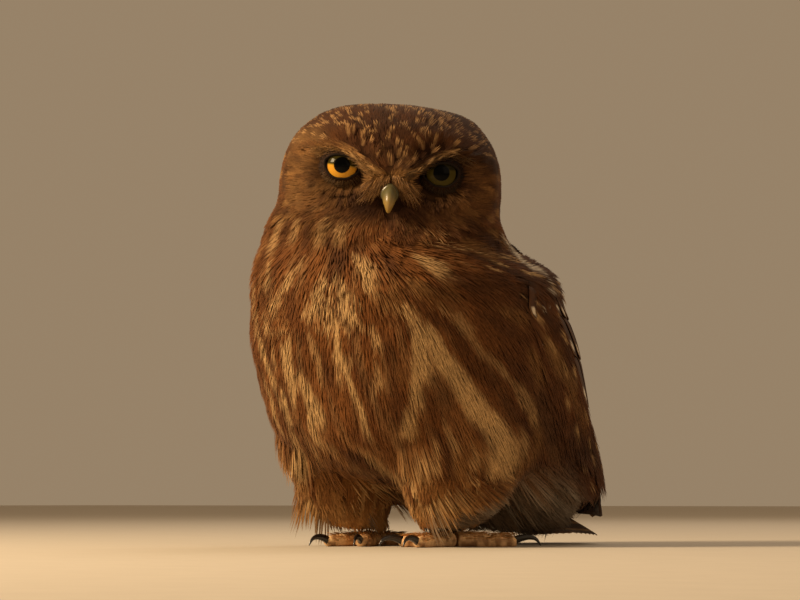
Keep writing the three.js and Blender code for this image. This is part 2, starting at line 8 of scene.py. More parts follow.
import bpy
import numpy as np
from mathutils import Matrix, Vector


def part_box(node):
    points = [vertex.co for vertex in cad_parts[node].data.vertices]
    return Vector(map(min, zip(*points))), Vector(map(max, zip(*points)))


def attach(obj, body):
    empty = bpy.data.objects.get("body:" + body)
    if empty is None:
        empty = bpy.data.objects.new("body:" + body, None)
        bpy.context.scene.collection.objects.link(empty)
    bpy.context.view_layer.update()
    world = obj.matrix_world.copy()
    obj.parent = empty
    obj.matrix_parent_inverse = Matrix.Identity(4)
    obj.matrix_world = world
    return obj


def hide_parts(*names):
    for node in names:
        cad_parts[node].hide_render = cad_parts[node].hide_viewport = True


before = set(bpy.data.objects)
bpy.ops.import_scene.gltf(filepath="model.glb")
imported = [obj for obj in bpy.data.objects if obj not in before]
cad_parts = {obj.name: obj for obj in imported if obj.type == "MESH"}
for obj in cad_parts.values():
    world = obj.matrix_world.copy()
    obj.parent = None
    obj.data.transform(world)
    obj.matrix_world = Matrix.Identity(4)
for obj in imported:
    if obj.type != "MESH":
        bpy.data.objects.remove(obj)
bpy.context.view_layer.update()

Array = np.ndarray
Object = bpy.types.Object
NodeTree = bpy.types.NodeTree
LOG = logging.getLogger("owl")
MM = 0.001

# The bird's own frame is in millimetres: it faces -Y, its left side is +X and its feet stand on z = 0.
HEAD_YAW = math.radians(38.5)
HEAD_ROLL = math.radians(4.5)
HEAD_PIVOT = np.array([0.0, 0.0, 140.0])
HEAD_TURNED_UP_TO = 5.2
BODY_STARTS_AT = 7.6
BODY_END = 14.05
END_ROUND = 1.5
EYE = np.array([18.2, -27.2, 141.2])
EYE_RADIUS = 8.7
EYE_SPLAY = math.radians(3)
BILL_ROOT = np.array([0.0, -38.0, 134.0])
FOOT_OUT = 19.0
FOOT_BACK = 14.0
WING_START = 6.75
WING_END = 14.78
TAIL_START = 12.1
TAIL_END = 15.2
TAIL_HALF = 19.0
SIDES = {"left": 1.0, "right": -1.0}

# Albedos, linear.
UMBER = np.array([0.038, 0.015, 0.006])
BROWN = np.array([0.128, 0.043, 0.011])
RUFOUS = np.array([0.205, 0.077, 0.020])
TAN = np.array([0.400, 0.210, 0.072])
CREAM = np.array([0.660, 0.415, 0.185])
WHITE = np.array([0.760, 0.650, 0.500])


def ease(x: Array, low: float, high: float) -> Array:
    """Smooth step from 0 at low to 1 at high."""
    s = np.clip((np.asarray(x, float) - low) / (high - low), 0, 1)
    return s * s * (3 - 2 * s)


def unit(v: Array) -> Array:
    """Vectors scaled to length 1."""
    return v / np.maximum(np.linalg.norm(v, axis=-1, keepdims=True), 1e-9)


def bell(distance: Array, width: float) -> Array:
    """1 at distance 0, falling off as a Gaussian of that width."""
    return np.exp(-((distance / width) ** 2))


def blend(base: Array, over: Array, mask: Array) -> Array:
    """Colour base with colour over laid on it where mask is 1."""
    return base + (over - base) * np.asarray(mask)[..., None]


def path_distance(points: Array, path: Array) -> Array:
    """The distance from each point to a polyline.

    Args:
        points: (..., 2) places.
        path: (n, 2) corners of the polyline.

    Returns:
        The shortest distance to any of its segments.
    """
    best = np.full(points.shape[:-1], 1e9)
    for a, b in zip(path[:-1], path[1:]):
        along = np.clip(((points - a) @ (b - a)) / ((b - a) @ (b - a)), 0, 1)
        best = np.minimum(best, np.linalg.norm(points - a - along[..., None] * (b - a), axis=-1))
    return best


def hashed(*keys: Array) -> Array:
    """A repeatable value from 0 to 1 for each set of whole-number keys."""
    mixed = np.zeros(np.broadcast(*keys).shape)
    for i, key in enumerate(keys):
        mixed = mixed + np.asarray(key) * (12.9898 + 65.123 * i)
    value = np.sin(mixed) * 43758.5453
    return value - np.floor(value)


def through(a: Array, b: Array, c: Array, d: Array, s: Array) -> Array:
    """The Catmull-Rom curve from b (s = 0) to c (s = 1), with a before them and d after."""
    return 0.5 * (2 * b + (c - a) * s + (2 * a - 5 * b + 4 * c - d) * s**2 + (3 * b - a - 3 * c + d) * s**3)


# Shape of the bird


@dataclass(frozen=True)
class Station:
    """One section of the outline: its front and back points in the middle plane, and its breadth."""

    front: tuple[float, float]
    back: tuple[float, float]
    half: float
    square: float
    egg: float
    lean: float = 0.0


STATIONS = (
    Station((4, 171.5), (4, 171.5), 0, 2, 0, 2.4),
    Station((-18, 167.5), (25, 168), 24.8, 2.1, 0.02, 2.0),
    Station((-31, 158.5), (38, 159.5), 36.2, 2.2, 0.05, 0.5),
    Station((-36.5, 149), (44, 148), 41.0, 2.4, 0.08, 0.1),
    Station((-38.5, 138.5), (47, 137.5), 42.5, 2.5, 0.08),
    Station((-39, 128.5), (49, 127), 43.4, 2.4, 0.06),
    Station((-42, 117), (54, 117), 49, 2.2, 0.02),
    Station((-49.5, 101), (62, 107), 55.5, 2.2, 0),
    Station((-51, 82), (71, 95), 57, 2.25, 0),
    Station((-46.5, 62), (80.5, 82), 56.5, 2.35, 0),
    Station((-38.5, 44), (89.5, 68), 54.5, 2.35, 0.02),
    Station((-24, 30), (98, 54), 50.5, 2.35, 0.04),
    Station((4, 21.5), (106, 41), 43.5, 2.35, 0.02),
    Station((40, 13.5), (113, 28), 36, 2.3, 0),
    Station((80, 6.5), (119, 16), 29, 2.2, 0),
    Station((114, 2.2), (125, 6.5), 23, 2.2, 0),
)
LAST = len(STATIONS) - 1

BROW_LINE = np.array([
    [2, 138.8], [6, 139.8], [9.5, 142], [12.5, 144.8], [15.5, 146.8], [20, 148.4], [25, 148.8], [31, 147.8],
])
BROW_EDGE = np.array([
    [4, 138.6], [9.7, 141], [13.1, 144], [15.4, 145.6], [18.2, 146.3], [22.5, 146.4], [27.4, 144.9],
])
BROW_THIN = np.array([
    [6, 139.2], [8.8, 140.3], [11.8, 142.5], [14.1, 145.1], [17, 146.9], [20.4, 148.4], [23.5, 149.8],
])
DISC_LINE = np.array([[36, 148], [38.5, 139], [36, 129], [28, 121], [17, 117], [6, 116]])


def turned(points: Array, weight: Array | float = 1.0) -> Array:
    """Points of the straight bird turned with the head: rolled about Y, then yawed about Z, by weight."""
    return turned_vector(points - HEAD_PIVOT, weight) + HEAD_PIVOT


def turned_vector(v: Array, weight: Array | float = 1.0) -> Array:
    """Directions of the straight bird turned with the head."""
    roll, yaw = HEAD_ROLL * np.asarray(weight), HEAD_YAW * np.asarray(weight)
    x = v[..., 0] * np.cos(roll) + v[..., 2] * np.sin(roll)
    z = v[..., 2] * np.cos(roll) - v[..., 0] * np.sin(roll)
    y = v[..., 1]
    return np.stack([x * np.cos(yaw) - y * np.sin(yaw), x * np.sin(yaw) + y * np.cos(yaw), z], axis=-1)


class Surface:
    """A closed surface point(u, v), with its normals and curvatures worked out from small steps."""

    STEP_U = 0.012
    STEP_V = 0.006
    LOW_U = 0.1

    def point(self, u: Array, v: Array) -> Array:
        """The place of (u, v), in the bird's frame."""
        raise NotImplementedError

    def tangents(self, u: Array, v: Array) -> tuple[Array, Array]:
        """The derivatives of point along u and v, by central differences."""
        u = np.maximum(u, self.LOW_U)
        along = (self.point(u + self.STEP_U, v) - self.point(u - self.STEP_U, v)) / (2 * self.STEP_U)
        around = (self.point(u, v + self.STEP_V) - self.point(u, v - self.STEP_V)) / (2 * self.STEP_V)
        return along, around

    def normal(self, u: Array, v: Array) -> Array:
        """The unit normal, outwards."""
        along, around = self.tangents(u, v)
        return unit(np.cross(along, around))

    def lifted(self, u: Array, v: Array, lift: Array | float) -> Array:
        """The place of (u, v) moved outwards by lift."""
        return self.point(u, v) + self.normal(u, v) * np.asarray(lift)[..., None]

    def steps(self, along: Array, around: Array, direction: Array) -> tuple[Array, Array]:
        """The changes of u and v for each millimetre along a tangent direction, from the metric."""
        e, f, g = (along * along).sum(-1), (along * around).sum(-1), (around * around).sum(-1)
        p, q = (along * direction).sum(-1), (around * direction).sum(-1)
        det = np.maximum(e * g - f * f, 1e-6)
        return (g * p - f * q) / det, (e * q - f * p) / det


class Plumage(Surface):
    """The outline of the whole coat: station t from the crown (0) to the tail, angle a from the belly."""

    THIGH = np.array([26.5, 7.0, 37.0])
    THIGH_RADII = np.array([20.0, 29.5, 30.0])

    def __init__(self) -> None:
        """Reads the stations into one table."""
        self.table = np.array([[*s.front, *s.back, s.half, s.square, s.egg, s.lean] for s in STATIONS],
                              float)

    def row(self, t: Array) -> Array:
        """The stations' values at t, through a uniform Catmull-Rom curve."""
        place = np.clip(t, 0, LAST)
        i = np.minimum(np.floor(place).astype(int), LAST - 1)
        s = (place - i + np.maximum(np.asarray(t) - LAST, 0))[..., None]
        a, b, c, d = (self.table[np.clip(i + k, 0, LAST)] for k in (-1, 0, 1, 2))
        return through(a, b, c, d, s)

    def straight(self, t: Array, a: Array) -> Array:
        """The place of (t, a) before the head turns: a superellipse in the plane of the section."""
        t, a = np.broadcast_arrays(np.asarray(t, float), np.asarray(a, float))
        fy, fz, by, bz, half, square, egg, lean = np.moveaxis(self.row(t), -1, 0)
        close = np.clip((t - BODY_END + END_ROUND) / END_ROUND, 0, 1)
        shrink = np.where(t <= BODY_END, np.sqrt(np.maximum(1 - close**2.5, 0.002)), 0.04)
        c, s = np.cos(a), np.sin(a)
        r = shrink / (np.abs(c) ** square + np.abs(s) ** square) ** (1 / square)
        x = lean + half * r * s * (1 + egg * c)
        y = (fy + by) / 2 - (by - fy) / 2 * c * r
        z = (fz + bz) / 2 - (bz - fz) / 2 * c * r
        middle = np.stack([lean, (fy + by) / 2, (fz + bz) / 2], axis=-1)
        return self.with_thighs(t, middle, np.stack([x, y, z], axis=-1))

    def with_thighs(self, t: Array, middle: Array, p: Array) -> Array:
        """Carries the body's outline out over the thighs.

        Args:
            t: stations.
            middle: the middle of each section.
            p: places on the section.

        Returns:
            p, moved away from the middle to where the ray leaves either thigh's ellipsoid if that lies
            farther out, with a smooth maximum of 14 mm and a soft edge where the ray only grazes it.
        """
        ray = p - middle
        size = np.maximum(np.linalg.norm(ray, axis=-1), 1e-3)
        side = np.where(p[..., :1] < middle[..., :1], -1.0, 1.0)
        thigh = self.THIGH * np.concatenate([side, np.ones_like(side), np.ones_like(side)], axis=-1)
        m, d = (middle - thigh) / self.THIGH_RADII, ray / self.THIGH_RADII
        a, b, c = (d * d).sum(-1), (d * m).sum(-1), (m * m).sum(-1) - 1
        half = np.sqrt(np.maximum(b * b - a * c, 0)) / a
        far, near = -b / a + half, -b / a - half
        k = 14 / size
        more = np.maximum(far - 1, 0) + np.maximum(k - np.abs(far - 1), 0) ** 2 / (4 * k)
        share = ease(half * size, 0, 9) * (1 - ease(near, 1.0, 1.25)) * ease(t, 7.8, 9.4)
        return p + ray * (more * share)[..., None]

    def point(self, t: Array, a: Array) -> Array:
        """The outline at (t, a), with the face's forms and the head's turn."""
        p = self.straight(t, a)
        centre = np.array([0, 4.0, 137])
        p = p + unit(p - centre) * self.relief(p, t)[..., None]
        return turned(p, 1 - ease(t, HEAD_TURNED_UP_TO, BODY_STARTS_AT))

    @staticmethod
    def relief(p: Array, t: Array) -> Array:
        """How far the face stands out: dished round the eyes, raised along brows and the disc's rim."""
        face = ease(-p[..., 1], 6, 22) * (1 - ease(np.asarray(t), 5.6, 6.6))
        flat = np.stack([np.abs(p[..., 0]), p[..., 2]], axis=-1)
        eye = np.linalg.norm(flat - EYE[[0, 2]], axis=-1)
        brow = bell(path_distance(flat, BROW_LINE), 2.4)
        dish = -4.2 * (1 - ease(eye, 5.5, 12.5)) * (1 - brow)
        rim = 1.2 * bell(path_distance(flat, DISC_LINE), 4.0)
        bill = -1.2 * bell(np.linalg.norm((flat - [0, 129]) * [1, 0.6], axis=-1), 5.0)
        return face * (dish + 1.7 * brow + rim + bill)


class Ovals(Surface):
    """A leg's coat, as level ovals from the hip (row 0) down to the foot."""

    ROWS = np.array([
        [56, 26, 9, 15, 23],
        [43, 26.5, 7, 19.6, 29],
        [31, 26.5, 7, 19.6, 29],
        [21, 26, 6.5, 17, 25],
        [13, 24, 5.5, 12.5, 19],
        [9, 22, 7, 9.8, 15.5],
        [7.4, 20.5, 9, 7.4, 10.5],
    ])

    def __init__(self, side: float) -> None:
        """Keeps which leg it is: 1 for the left, -1 for the right."""
        self.side = side

    def point(self, row: Array, angle: Array) -> Array:
        """The place on the ovals, angle 0 in front and 90 degrees outwards on the left."""
        row, angle = np.broadcast_arrays(np.asarray(row, float), np.asarray(angle, float))
        place = np.clip(row, 0, len(self.ROWS) - 1)
        z, out, back, wide, length = (np.interp(place, range(len(self.ROWS)), column)
                                      for column in self.ROWS.T)
        x = self.side * out + wide * np.sin(angle)
        return np.stack([x, back - length * np.cos(angle), z], axis=-1)


COAT = Plumage()
THROAT = 0.30


def flow_line(t: Array, a: Array) -> Array:
    """Which line of the coat's lie runs through (t, a), in radians round the body.

    The lines leave the throat close together and open out down the body, most on the left:
    u = w (1 + (1 / g - 1) exp(-(w / r)^2)), w = a + the head's turn there - the throat's angle,
    g = 1 - k exp(-(t - 5.8) / 1.5), with k = 0.82 and r = 1.6 on the left, 0.5 and 0.8 on the right.
    """
    w = a + HEAD_YAW * (1 - ease(t, HEAD_TURNED_UP_TO, BODY_STARTS_AT)) - THROAT
    left = ease(w, -0.3, 0.3)
    g = 1 - (0.5 + 0.32 * left) * np.exp(-np.maximum(t - 5.8, 0) / 1.5)
    return w * (1 + (1 / g - 1) * np.exp(-((w / (0.8 + 0.8 * left)) ** 2))) + THROAT


def eye_axes(side: float) -> tuple[Array, Array, Array, Array]:
    """An eye's centre, and its axes ahead, outwards and up."""
    centre = turned(EYE * [side, 1, 1])
    ahead = turned_vector(np.array([side * math.sin(EYE_SPLAY), -math.cos(EYE_SPLAY), 0.0]))
    up = turned_vector(np.array([0.0, 0.0, 1.0]))
    return centre, ahead, unit(np.cross(up, ahead)) * side, up


SHIFT = (np.array(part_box("eye_left")).mean(axis=0) / MM) - eye_axes(1.0)[0]


# Markings and painted shade

# Streaks laid on a chart of the body: the turn in degrees from the front, the left side counted
# positive, and the height in millimetres, of the upper end and then of the lower end; half width; strength.
CREAM_STREAKS = np.array([
    (-24, 121, -25, 113, 2.4, 0.5), (-12, 122, -13, 115, 2.0, 0.45), (1, 121, 1, 114, 2.0, 0.45),
    (8, 120, 9, 114, 1.8, 0.5), (-23, 107, -21, 98, 1.4, 0.6), (-5, 106, -9, 98, 1.6, 0.6),
    (-9, 99, -15, 89, 1.9, 0.75), (-33, 98, -34, 88, 1.6, 0.6), (-29, 88, -27, 80, 1.5, 0.5),
    (-20, 87, -19, 81, 1.5, 0.6), (-29, 79, -28, 71, 2.0, 0.9), (-27, 71, -25, 62, 1.9, 0.8),
    (-20, 74, -20, 69, 1.2, 0.6), (-9, 79, -11, 71, 1.8, 0.8), (-13, 73, -13, 61, 2.6, 1.0),
    (-24, 58, -24, 53, 1.0, 0.7), (-20, 57, -22, 48, 1.6, 0.9), (-14, 58, -15, 53, 0.9, 0.8),
    (-7, 62, -3, 49, 3.0, 1.0), (-7, 50, -10, 40, 1.8, 0.9), (8, 98, 5, 85, 2.0, 0.95),
    (13, 100, 12, 84, 0.9, 0.95), (12, 87, 10, 80, 1.6, 0.9), (14, 87, 17, 80, 1.2, 0.9),
    (16, 97, 20, 87, 1.9, 1.0), (20, 92, 21, 83, 1.5, 0.9), (18, 107, 26, 101, 2.0, 0.75),
    (21, 105, 27, 95, 1.4, 0.85), (13, 80, 12, 69, 1.2, 1.0), (13, 70, 16, 60, 1.2, 0.9),
    (16, 61, 19, 50, 1.2, 0.9), (18, 53, 21, 42, 1.1, 0.7), (11, 66, 11, 61, 1.1, 0.6),
    (1, 78, 2, 72, 1.6, 0.5), (4, 70, 3, 63, 1.4, 0.5), (26, 79, 28, 74, 1.7, 0.6),
    (20, 71, 17, 67, 1.0, 0.6), (27, 66, 28, 60, 1.7, 0.6), (26, 60, 24, 55, 1.4, 0.5),
    (43, 107, 51, 103, 2.4, 0.8), (42, 87, 44, 75, 2.6, 1.0), (43, 77, 44, 64, 2.8, 1.0),
    (46, 80, 52, 68, 2.8, 1.0), (42, 66, 42, 54, 2.3, 0.9), (41, 56, 39, 42, 1.9, 0.75),
    (51, 71, 60, 59, 3.4, 1.0), (58, 62, 68, 51, 3.7, 1.0), (66, 53, 78, 44, 4.0, 1.0),
    (76, 48, 90, 36, 3.9, 1.0), (86, 39, 98, 29, 3.2, 0.8), (96, 43, 106, 27, 2.8, 0.55),
    (77, 41, 86, 31, 3.0, 0.9), (55, 88, 61, 80, 2.4, 0.4), (58, 83, 66, 73, 1.6, 0.3),
    (66, 73, 80, 65, 1.3, 0.35), (80, 65, 95, 53, 1.6, 0.3), (91, 59, 103, 49, 2.1, 0.4),
    (54, 46, 59, 38, 1.6, 0.5), (68, 38, 71, 33, 1.4, 0.5), (51, 38, 53, 30, 1.3, 0.6),
    (44, 33, 47, 24, 1.5, 0.7), (49, 23, 53, 16, 1.9, 0.8), (58, 21, 65, 15, 2.3, 0.8),
    (68, 21, 76, 16, 2.0, 0.5), (-33, 62, -31, 54, 1.8, 0.6), (-34, 53, -35, 46, 1.7, 0.8),
    (-24, 46, -25, 40, 1.6, 0.6), (-29, 39, -38, 30, 2.3, 0.9), (-40, 30, -46, 22, 2.3, 0.9),
    (-43, 23, -50, 15, 2.5, 0.7), (-9, 39, -4, 36, 1.5, 0.5), (12, 35, 30, 25, 1.3, 0.7),
    (32, 27, 36, 22, 1.7, 0.7), (37, 18, 40, 11, 2.6, 0.8), (39, 48, 37, 41, 1.5, 0.5),
    (45, 27, 48, 18, 1.3, 0.6),
])
# Dark streaks are brown markings, and among them a painted shadow in the crease between the head and the
# left shoulder.
DARK_STREAKS = np.array([
    (-18, 123, -18, 114, 2.0, 0.6), (-6, 123, -6, 113, 2.0, 0.6), (4, 119, 5, 112, 1.8, 0.5),
    (-30, 118, -30, 110, 2.0, 0.5), (-24, 97, -24, 91, 2.0, 0.5), (-4, 96, -4, 86, 2.4, 0.5),
    (-16, 85, -15, 79, 1.3, 0.4), (-6, 83, -4, 76, 1.8, 0.4), (-24, 83, -23, 76, 1.4, 0.6),
    (-24, 73, -23, 68, 1.3, 0.6), (-6, 71, -5, 64, 1.7, 0.35), (-19, 60, -17, 55, 1.2, 0.5),
    (-25, 61, -25, 57, 1.1, 0.5), (10, 97, 9, 86, 1.1, 0.8), (15, 97, 16, 86, 1.1, 0.8),
    (17, 86, 18, 81, 1.3, 0.5), (-16, 107, -19, 98, 2.2, 0.5), (8, 110, 12, 101, 2.6, 0.5),
    (2, 84, 5, 82, 0.8, 0.6), (48, 97, 58, 91, 2.4, 0.3), (6, 68, 8, 62, 1.9, 0.5),
    (19, 68, 24, 62, 2.4, 0.4), (31, 76, 34, 66, 2.5, 0.4), (33, 61, 34, 48, 3.0, 0.4),
    (21, 60, 25, 53, 2.4, 0.35), (30, 118, 38, 114, 2.6, 0.6), (31, 107, 33, 103, 2.2, 0.65),
    (11, 111, 13, 104, 1.8, 0.5), (16, 116, 17, 111, 2.0, 0.5), (5, 112, 9, 108, 3.0, 0.35),
    (58, 74, 74, 61, 3.2, 0.5), (46, 90, 54, 80, 2.2, 0.5), (48, 63, 54, 54, 2.6, 0.5),
    (45, 58, 51, 46, 2.8, 0.5), (52, 84, 62, 75, 1.8, 0.4), (66, 45, 78, 39, 1.8, 0.5),
    (50, 44, 56, 36, 2.0, 0.5), (36, 37, 42, 30, 2.4, 0.45), (56, 34, 66, 22, 2.6, 0.6),
    (81, 28, 92, 20, 3.8, 0.6), (80, 56, 98, 45, 2.1, 0.5), (80, 71, 96, 62, 2.4, 0.45),
    (104, 57, 118, 43, 4.6, 0.6), (92, 101, 94, 92, 3.2, 0.65), (118, 86, 128, 74, 3.2, 0.6),
    (130, 44, 150, 30, 5.0, 0.7), (4, 34, 24, 24, 4.0, 0.75), (-12, 30, 0, 26, 3.5, 0.6),
    (70, 121, 84, 114, 2.6, 0.8), (56, 100, 74, 98, 3.0, 0.4), (66, 86, 82, 81, 2.4, 0.35),
    (60, 118, 78, 117, 2.6, 0.6),
])
TAN_PATCHES = np.array([
    (56, 98, 58, 92, 1.7, 0.4), (80, 88, 88, 86, 3.0, 0.4), (102, 78, 112, 69, 3.6, 0.5),
    (111, 70, 125, 61, 3.1, 0.5), (95, 73, 101, 64, 2.6, 0.4), (64, 114, 78, 110, 2.8, 0.5),
    (41, 49, 42, 42, 1.9, 0.6), (-4, 117, 8, 117, 2.2, 0.5), (100, 50, 112, 38, 2.6, 0.4),
    (122, 58, 138, 48, 2.8, 0.35), (35, 98, 38, 88, 2.6, 0.65), (40, 99, 50, 93, 2.4, 0.55),
    (29, 98, 32, 88, 1.6, 0.4), (33, 70, 36, 62, 2.0, 0.3),
])
SHOULDER_SPOTS = np.array([
    (99, 117, 107, 112, 2.2, 1.0), (105, 109, 111, 105, 1.8, 1.0), (112, 101, 114, 97, 1.2, 0.8),
])


def drops(u: Array, v: Array, pitch: tuple[float, float], size: tuple[float, float], seed: int,
          share: float = 1.0, soft: float = 0.45) -> Array:
    """A field of drop-shaped marks on a jittered, staggered grid.

    Args:
        u, v: places across and along the feathers' lie, in millimetres.
        pitch: the grid's spacing across and along.
        size: a drop's half width and half length.
        seed: the draw of the jitter.
        share: the part of the grid's places that carry a drop.
        soft: how much of a drop is its fading edge.

    Returns:
        1 inside the drops and 0 outside, with soft edges. A drop is narrower at its upper end.
    """
    best = np.zeros(np.broadcast(u, v).shape)
    column = np.floor(u / pitch[0])
    for di in (-1, 0, 1):
        i = column + di
        stagger = pitch[1] * (0.5 * (i % 2) + 0.5 * hashed(i, seed))
        row = np.floor((v - stagger) / pitch[1])
        for dj in (-1, 0, 1):
            j = row + dj
            cu = (i + 0.5 + 0.55 * (hashed(i, j, seed + 1) - 0.5)) * pitch[0]
            cv = (j + 0.5 + 0.5 * (hashed(i, j, seed + 2) - 0.5)) * pitch[1] + stagger
            grow = 0.7 + 0.6 * hashed(i, j, seed + 3)
            y = (v - cv) / (size[1] * grow)
            x = (u - cu) / (size[0] * grow) / np.clip(0.72 + 0.36 * y, 0.25, 1.2)
            there = hashed(i, j, seed + 4) < share
            best = np.maximum(best, there * (1 - ease(np.hypot(x, y), 1 - soft, 1.08)))
    return best


def mottle(u: Array, v: Array, pitch: float, seed: int) -> Array:
    """Smooth value noise from 0 to 1 on a grid of that pitch."""
    x, y = u / pitch, v / pitch
    i, j = np.floor(x), np.floor(y)
    fx, fy = ease(x - i, 0, 1), ease(y - j, 0, 1)
    low = hashed(i, j, seed) * (1 - fx) + hashed(i + 1, j, seed) * fx
    high = hashed(i, j + 1, seed) * (1 - fx) + hashed(i + 1, j + 1, seed) * fx
    return low * (1 - fy) + high * fy


class MarkingsAndPaintedShade:
    """The bird's colours as a function of the place on its coat: its markings, with painted shade on parts
    of the face and body.
    """

    @staticmethod
    def head(p: Array) -> Array:
        """Colours of the head.

        Args:
            p: (..., 3) places on the straight head.

        Returns:
            Dark brown with buff drops on the crown, pale brows and lores, dark sockets and brown cheeks,
            with painted shade round the left eye, over the face's left half and low on its right half.
        """
        x, y, z = np.moveaxis(p, -1, 0)
        q = p - [0, 0, 134]
        polar = np.arccos(np.clip(-q[..., 1] / np.maximum(np.linalg.norm(q, axis=-1), 1e-6), -1, 1))
        u, v = np.arctan2(q[..., 0], q[..., 2]) * 26, polar * 42
        flat = np.stack([np.abs(x), z], axis=-1)
        front = ease(-y, 4, 22)
        tone = mottle(u, v * 0.5, 3.2, 11)
        crown = blend(UMBER * 1.0 + 0 * p, BROWN, (0.7 - 0.3 * front) * tone)
        side = blend(BROWN * 0.9 + 0 * p, RUFOUS, 0.7 * tone)
        side = blend(side, UMBER * 1.6, 0.75 * ease(mottle(u * 1.2, v * 0.5, 2.4, 37), 0.45, 0.75))
        side = blend(side, TAN, 0.65 * drops(u, v, (5.2, 11), (1.5, 4.4), 31, 0.85))
        colour = blend(side, crown, ease(q[..., 2] + 0.2 * (-y), 12, 22))
        nape = ease(y, 6, 20) * ease(z, 108, 116) * (1 - ease(z, 150, 160))
        colour = blend(colour, blend(UMBER * 1.3 + 0 * p, BROWN, mottle(x, z * 0.4, 4.0, 13)),
                       ease(y, 0, 12))
        colour = blend(colour, CREAM, 0.85 * nape * drops(x, -z, (8.5, 8.5), (1.9, 3.0), 41, 0.75))
        eye = np.linalg.norm(flat - EYE[[0, 2]], axis=-1)
        colour = blend(colour, blend(UMBER * 1.3 + 0 * p, BROWN, 0.8 * tone), front * bell(eye, 13))
        streaky = 0.35 + 0.75 * mottle(u * 2.2, v * 0.4, 1.8, 27)
        under = bell(np.linalg.norm((flat - [22, 133.6]) * [0.42, 1.5], axis=-1), 3.0)
        colour = blend(colour, TAN * 1.3, np.clip(1.1 * front * under * streaky, 0, 1))
        low = bell(np.linalg.norm((flat - [17, 129]) * [0.4, 1.3], axis=-1), 3.4)
        colour = blend(colour, UMBER * 1.4, 0.7 * front * low)
        round_eye = np.arctan2(z - EYE[2], np.abs(x) - EYE[0])
        rays = mottle(round_eye * 11, eye * 0.3, 1.0, 29) ** 1.5
        disc = front * ease(eye, 6, 10) * (1 - ease(eye, 19, 27)) * (1 - ease(z, 145, 151))
        colour = blend(colour, blend(UMBER * 1.3 + 0 * p, TAN * np.array([0.8, 0.72, 0.66]), rays),
                       0.65 * disc)
        lore = bell(np.linalg.norm((flat - [7.5, 137.0]) * [1.0, 0.8], axis=-1), 4.0)
        colour = blend(colour, TAN * 1.1, np.clip(0.9 * front * lore * streaky, 0, 1))
        patch = bell(np.linalg.norm((flat - [2.0, 144.5]) * [0.62, 1], axis=-1), 4.2)
        colour = blend(colour, UMBER * 1.1, 0.85 * front * patch)
        bridge = bell(np.linalg.norm((flat - [0, 138.9]) * [0.28, 1], axis=-1), 1.3)
        colour = blend(colour, TAN, 0.75 * front * bridge * streaky)
        right = bell(path_distance(flat, BROW_EDGE + [0.5, 0.7]), 1.5) * (x < 0)
        right = right * (0.45 + 0.6 * mottle(u * 2, v * 0.3, 1.6, 23))
        colour = blend(colour, TAN * 1.3, np.clip(0.8 * front * right, 0, 1))
        over = bell(path_distance(flat, BROW_LINE + [-1.0, 2.8]), 2.0)
        over = over * (x < 0) * (1 - ease(np.abs(x), 23, 29))
        colour = blend(colour, blend(UMBER * 1.2 + 0 * p, BROWN, tone), 0.8 * front * over)
        temple = bell(np.linalg.norm((flat - [33, 152.5]) * [0.8, 1.2], axis=-1), 5.0) * (x < 0)
        colour = blend(colour, TAN * 0.8, 0.65 * temple * (0.4 + 0.7 * mottle(u, v * 0.6, 2.4, 33)))
        shadow = bell(np.linalg.norm(flat - [EYE[0] + 1, EYE[2] - 1], axis=-1), 10.5) * (x > 0)
        shadow = np.maximum(shadow, ease(x, 22, 27) * bell(z - 149, 4.5))
        colour = blend(colour, UMBER * 0.8, 0.75 * front * shadow)
        line = np.where(x < 0, bell(path_distance(flat, BROW_EDGE), 0.65),
                        bell(path_distance(flat, BROW_THIN), 0.55))
        colour = blend(colour, 0.5 * (TAN + CREAM), np.clip(1.1 * front * line, 0, 1))
        above = bell(path_distance(flat, BROW_THIN + [-0.6, 2.4]), 1.5) * (x > 0)
        colour = blend(colour, UMBER, 0.7 * front * above)
        beside = bell(np.linalg.norm((flat - [7.5, 129]) * [1, 0.8], axis=-1), 4.2)
        chin = bell(np.linalg.norm((flat - [5, 124.5]) * [0.5, 1], axis=-1), 6.5)
        colour = blend(colour, UMBER * 1.3, np.clip(0.85 * front * (chin + 0.9 * beside), 0, 1))
        # Painted shade: the face's left half is darker below the brows, on the side away from the key
        # light.
        colour = blend(colour, UMBER, 0.42 * front * ease(x, 7, 16) * (1 - ease(z, 146, 152)))
        cheek = bell(np.linalg.norm((flat - [35, 130]) * [1, 0.45], axis=-1), 6)
        colour = blend(colour, TAN * 0.8, 0.6 * cheek * front * (x < 0) * mottle(u, v, 2.6, 17))
        # Painted shade: the face's right half is darker below the eyes, to temper the key light that falls
        # strongest there.
        return colour * (1 - 0.3 * (front * ease(-x, 4, 10) * (1 - ease(z, 142, 146)))[..., None])

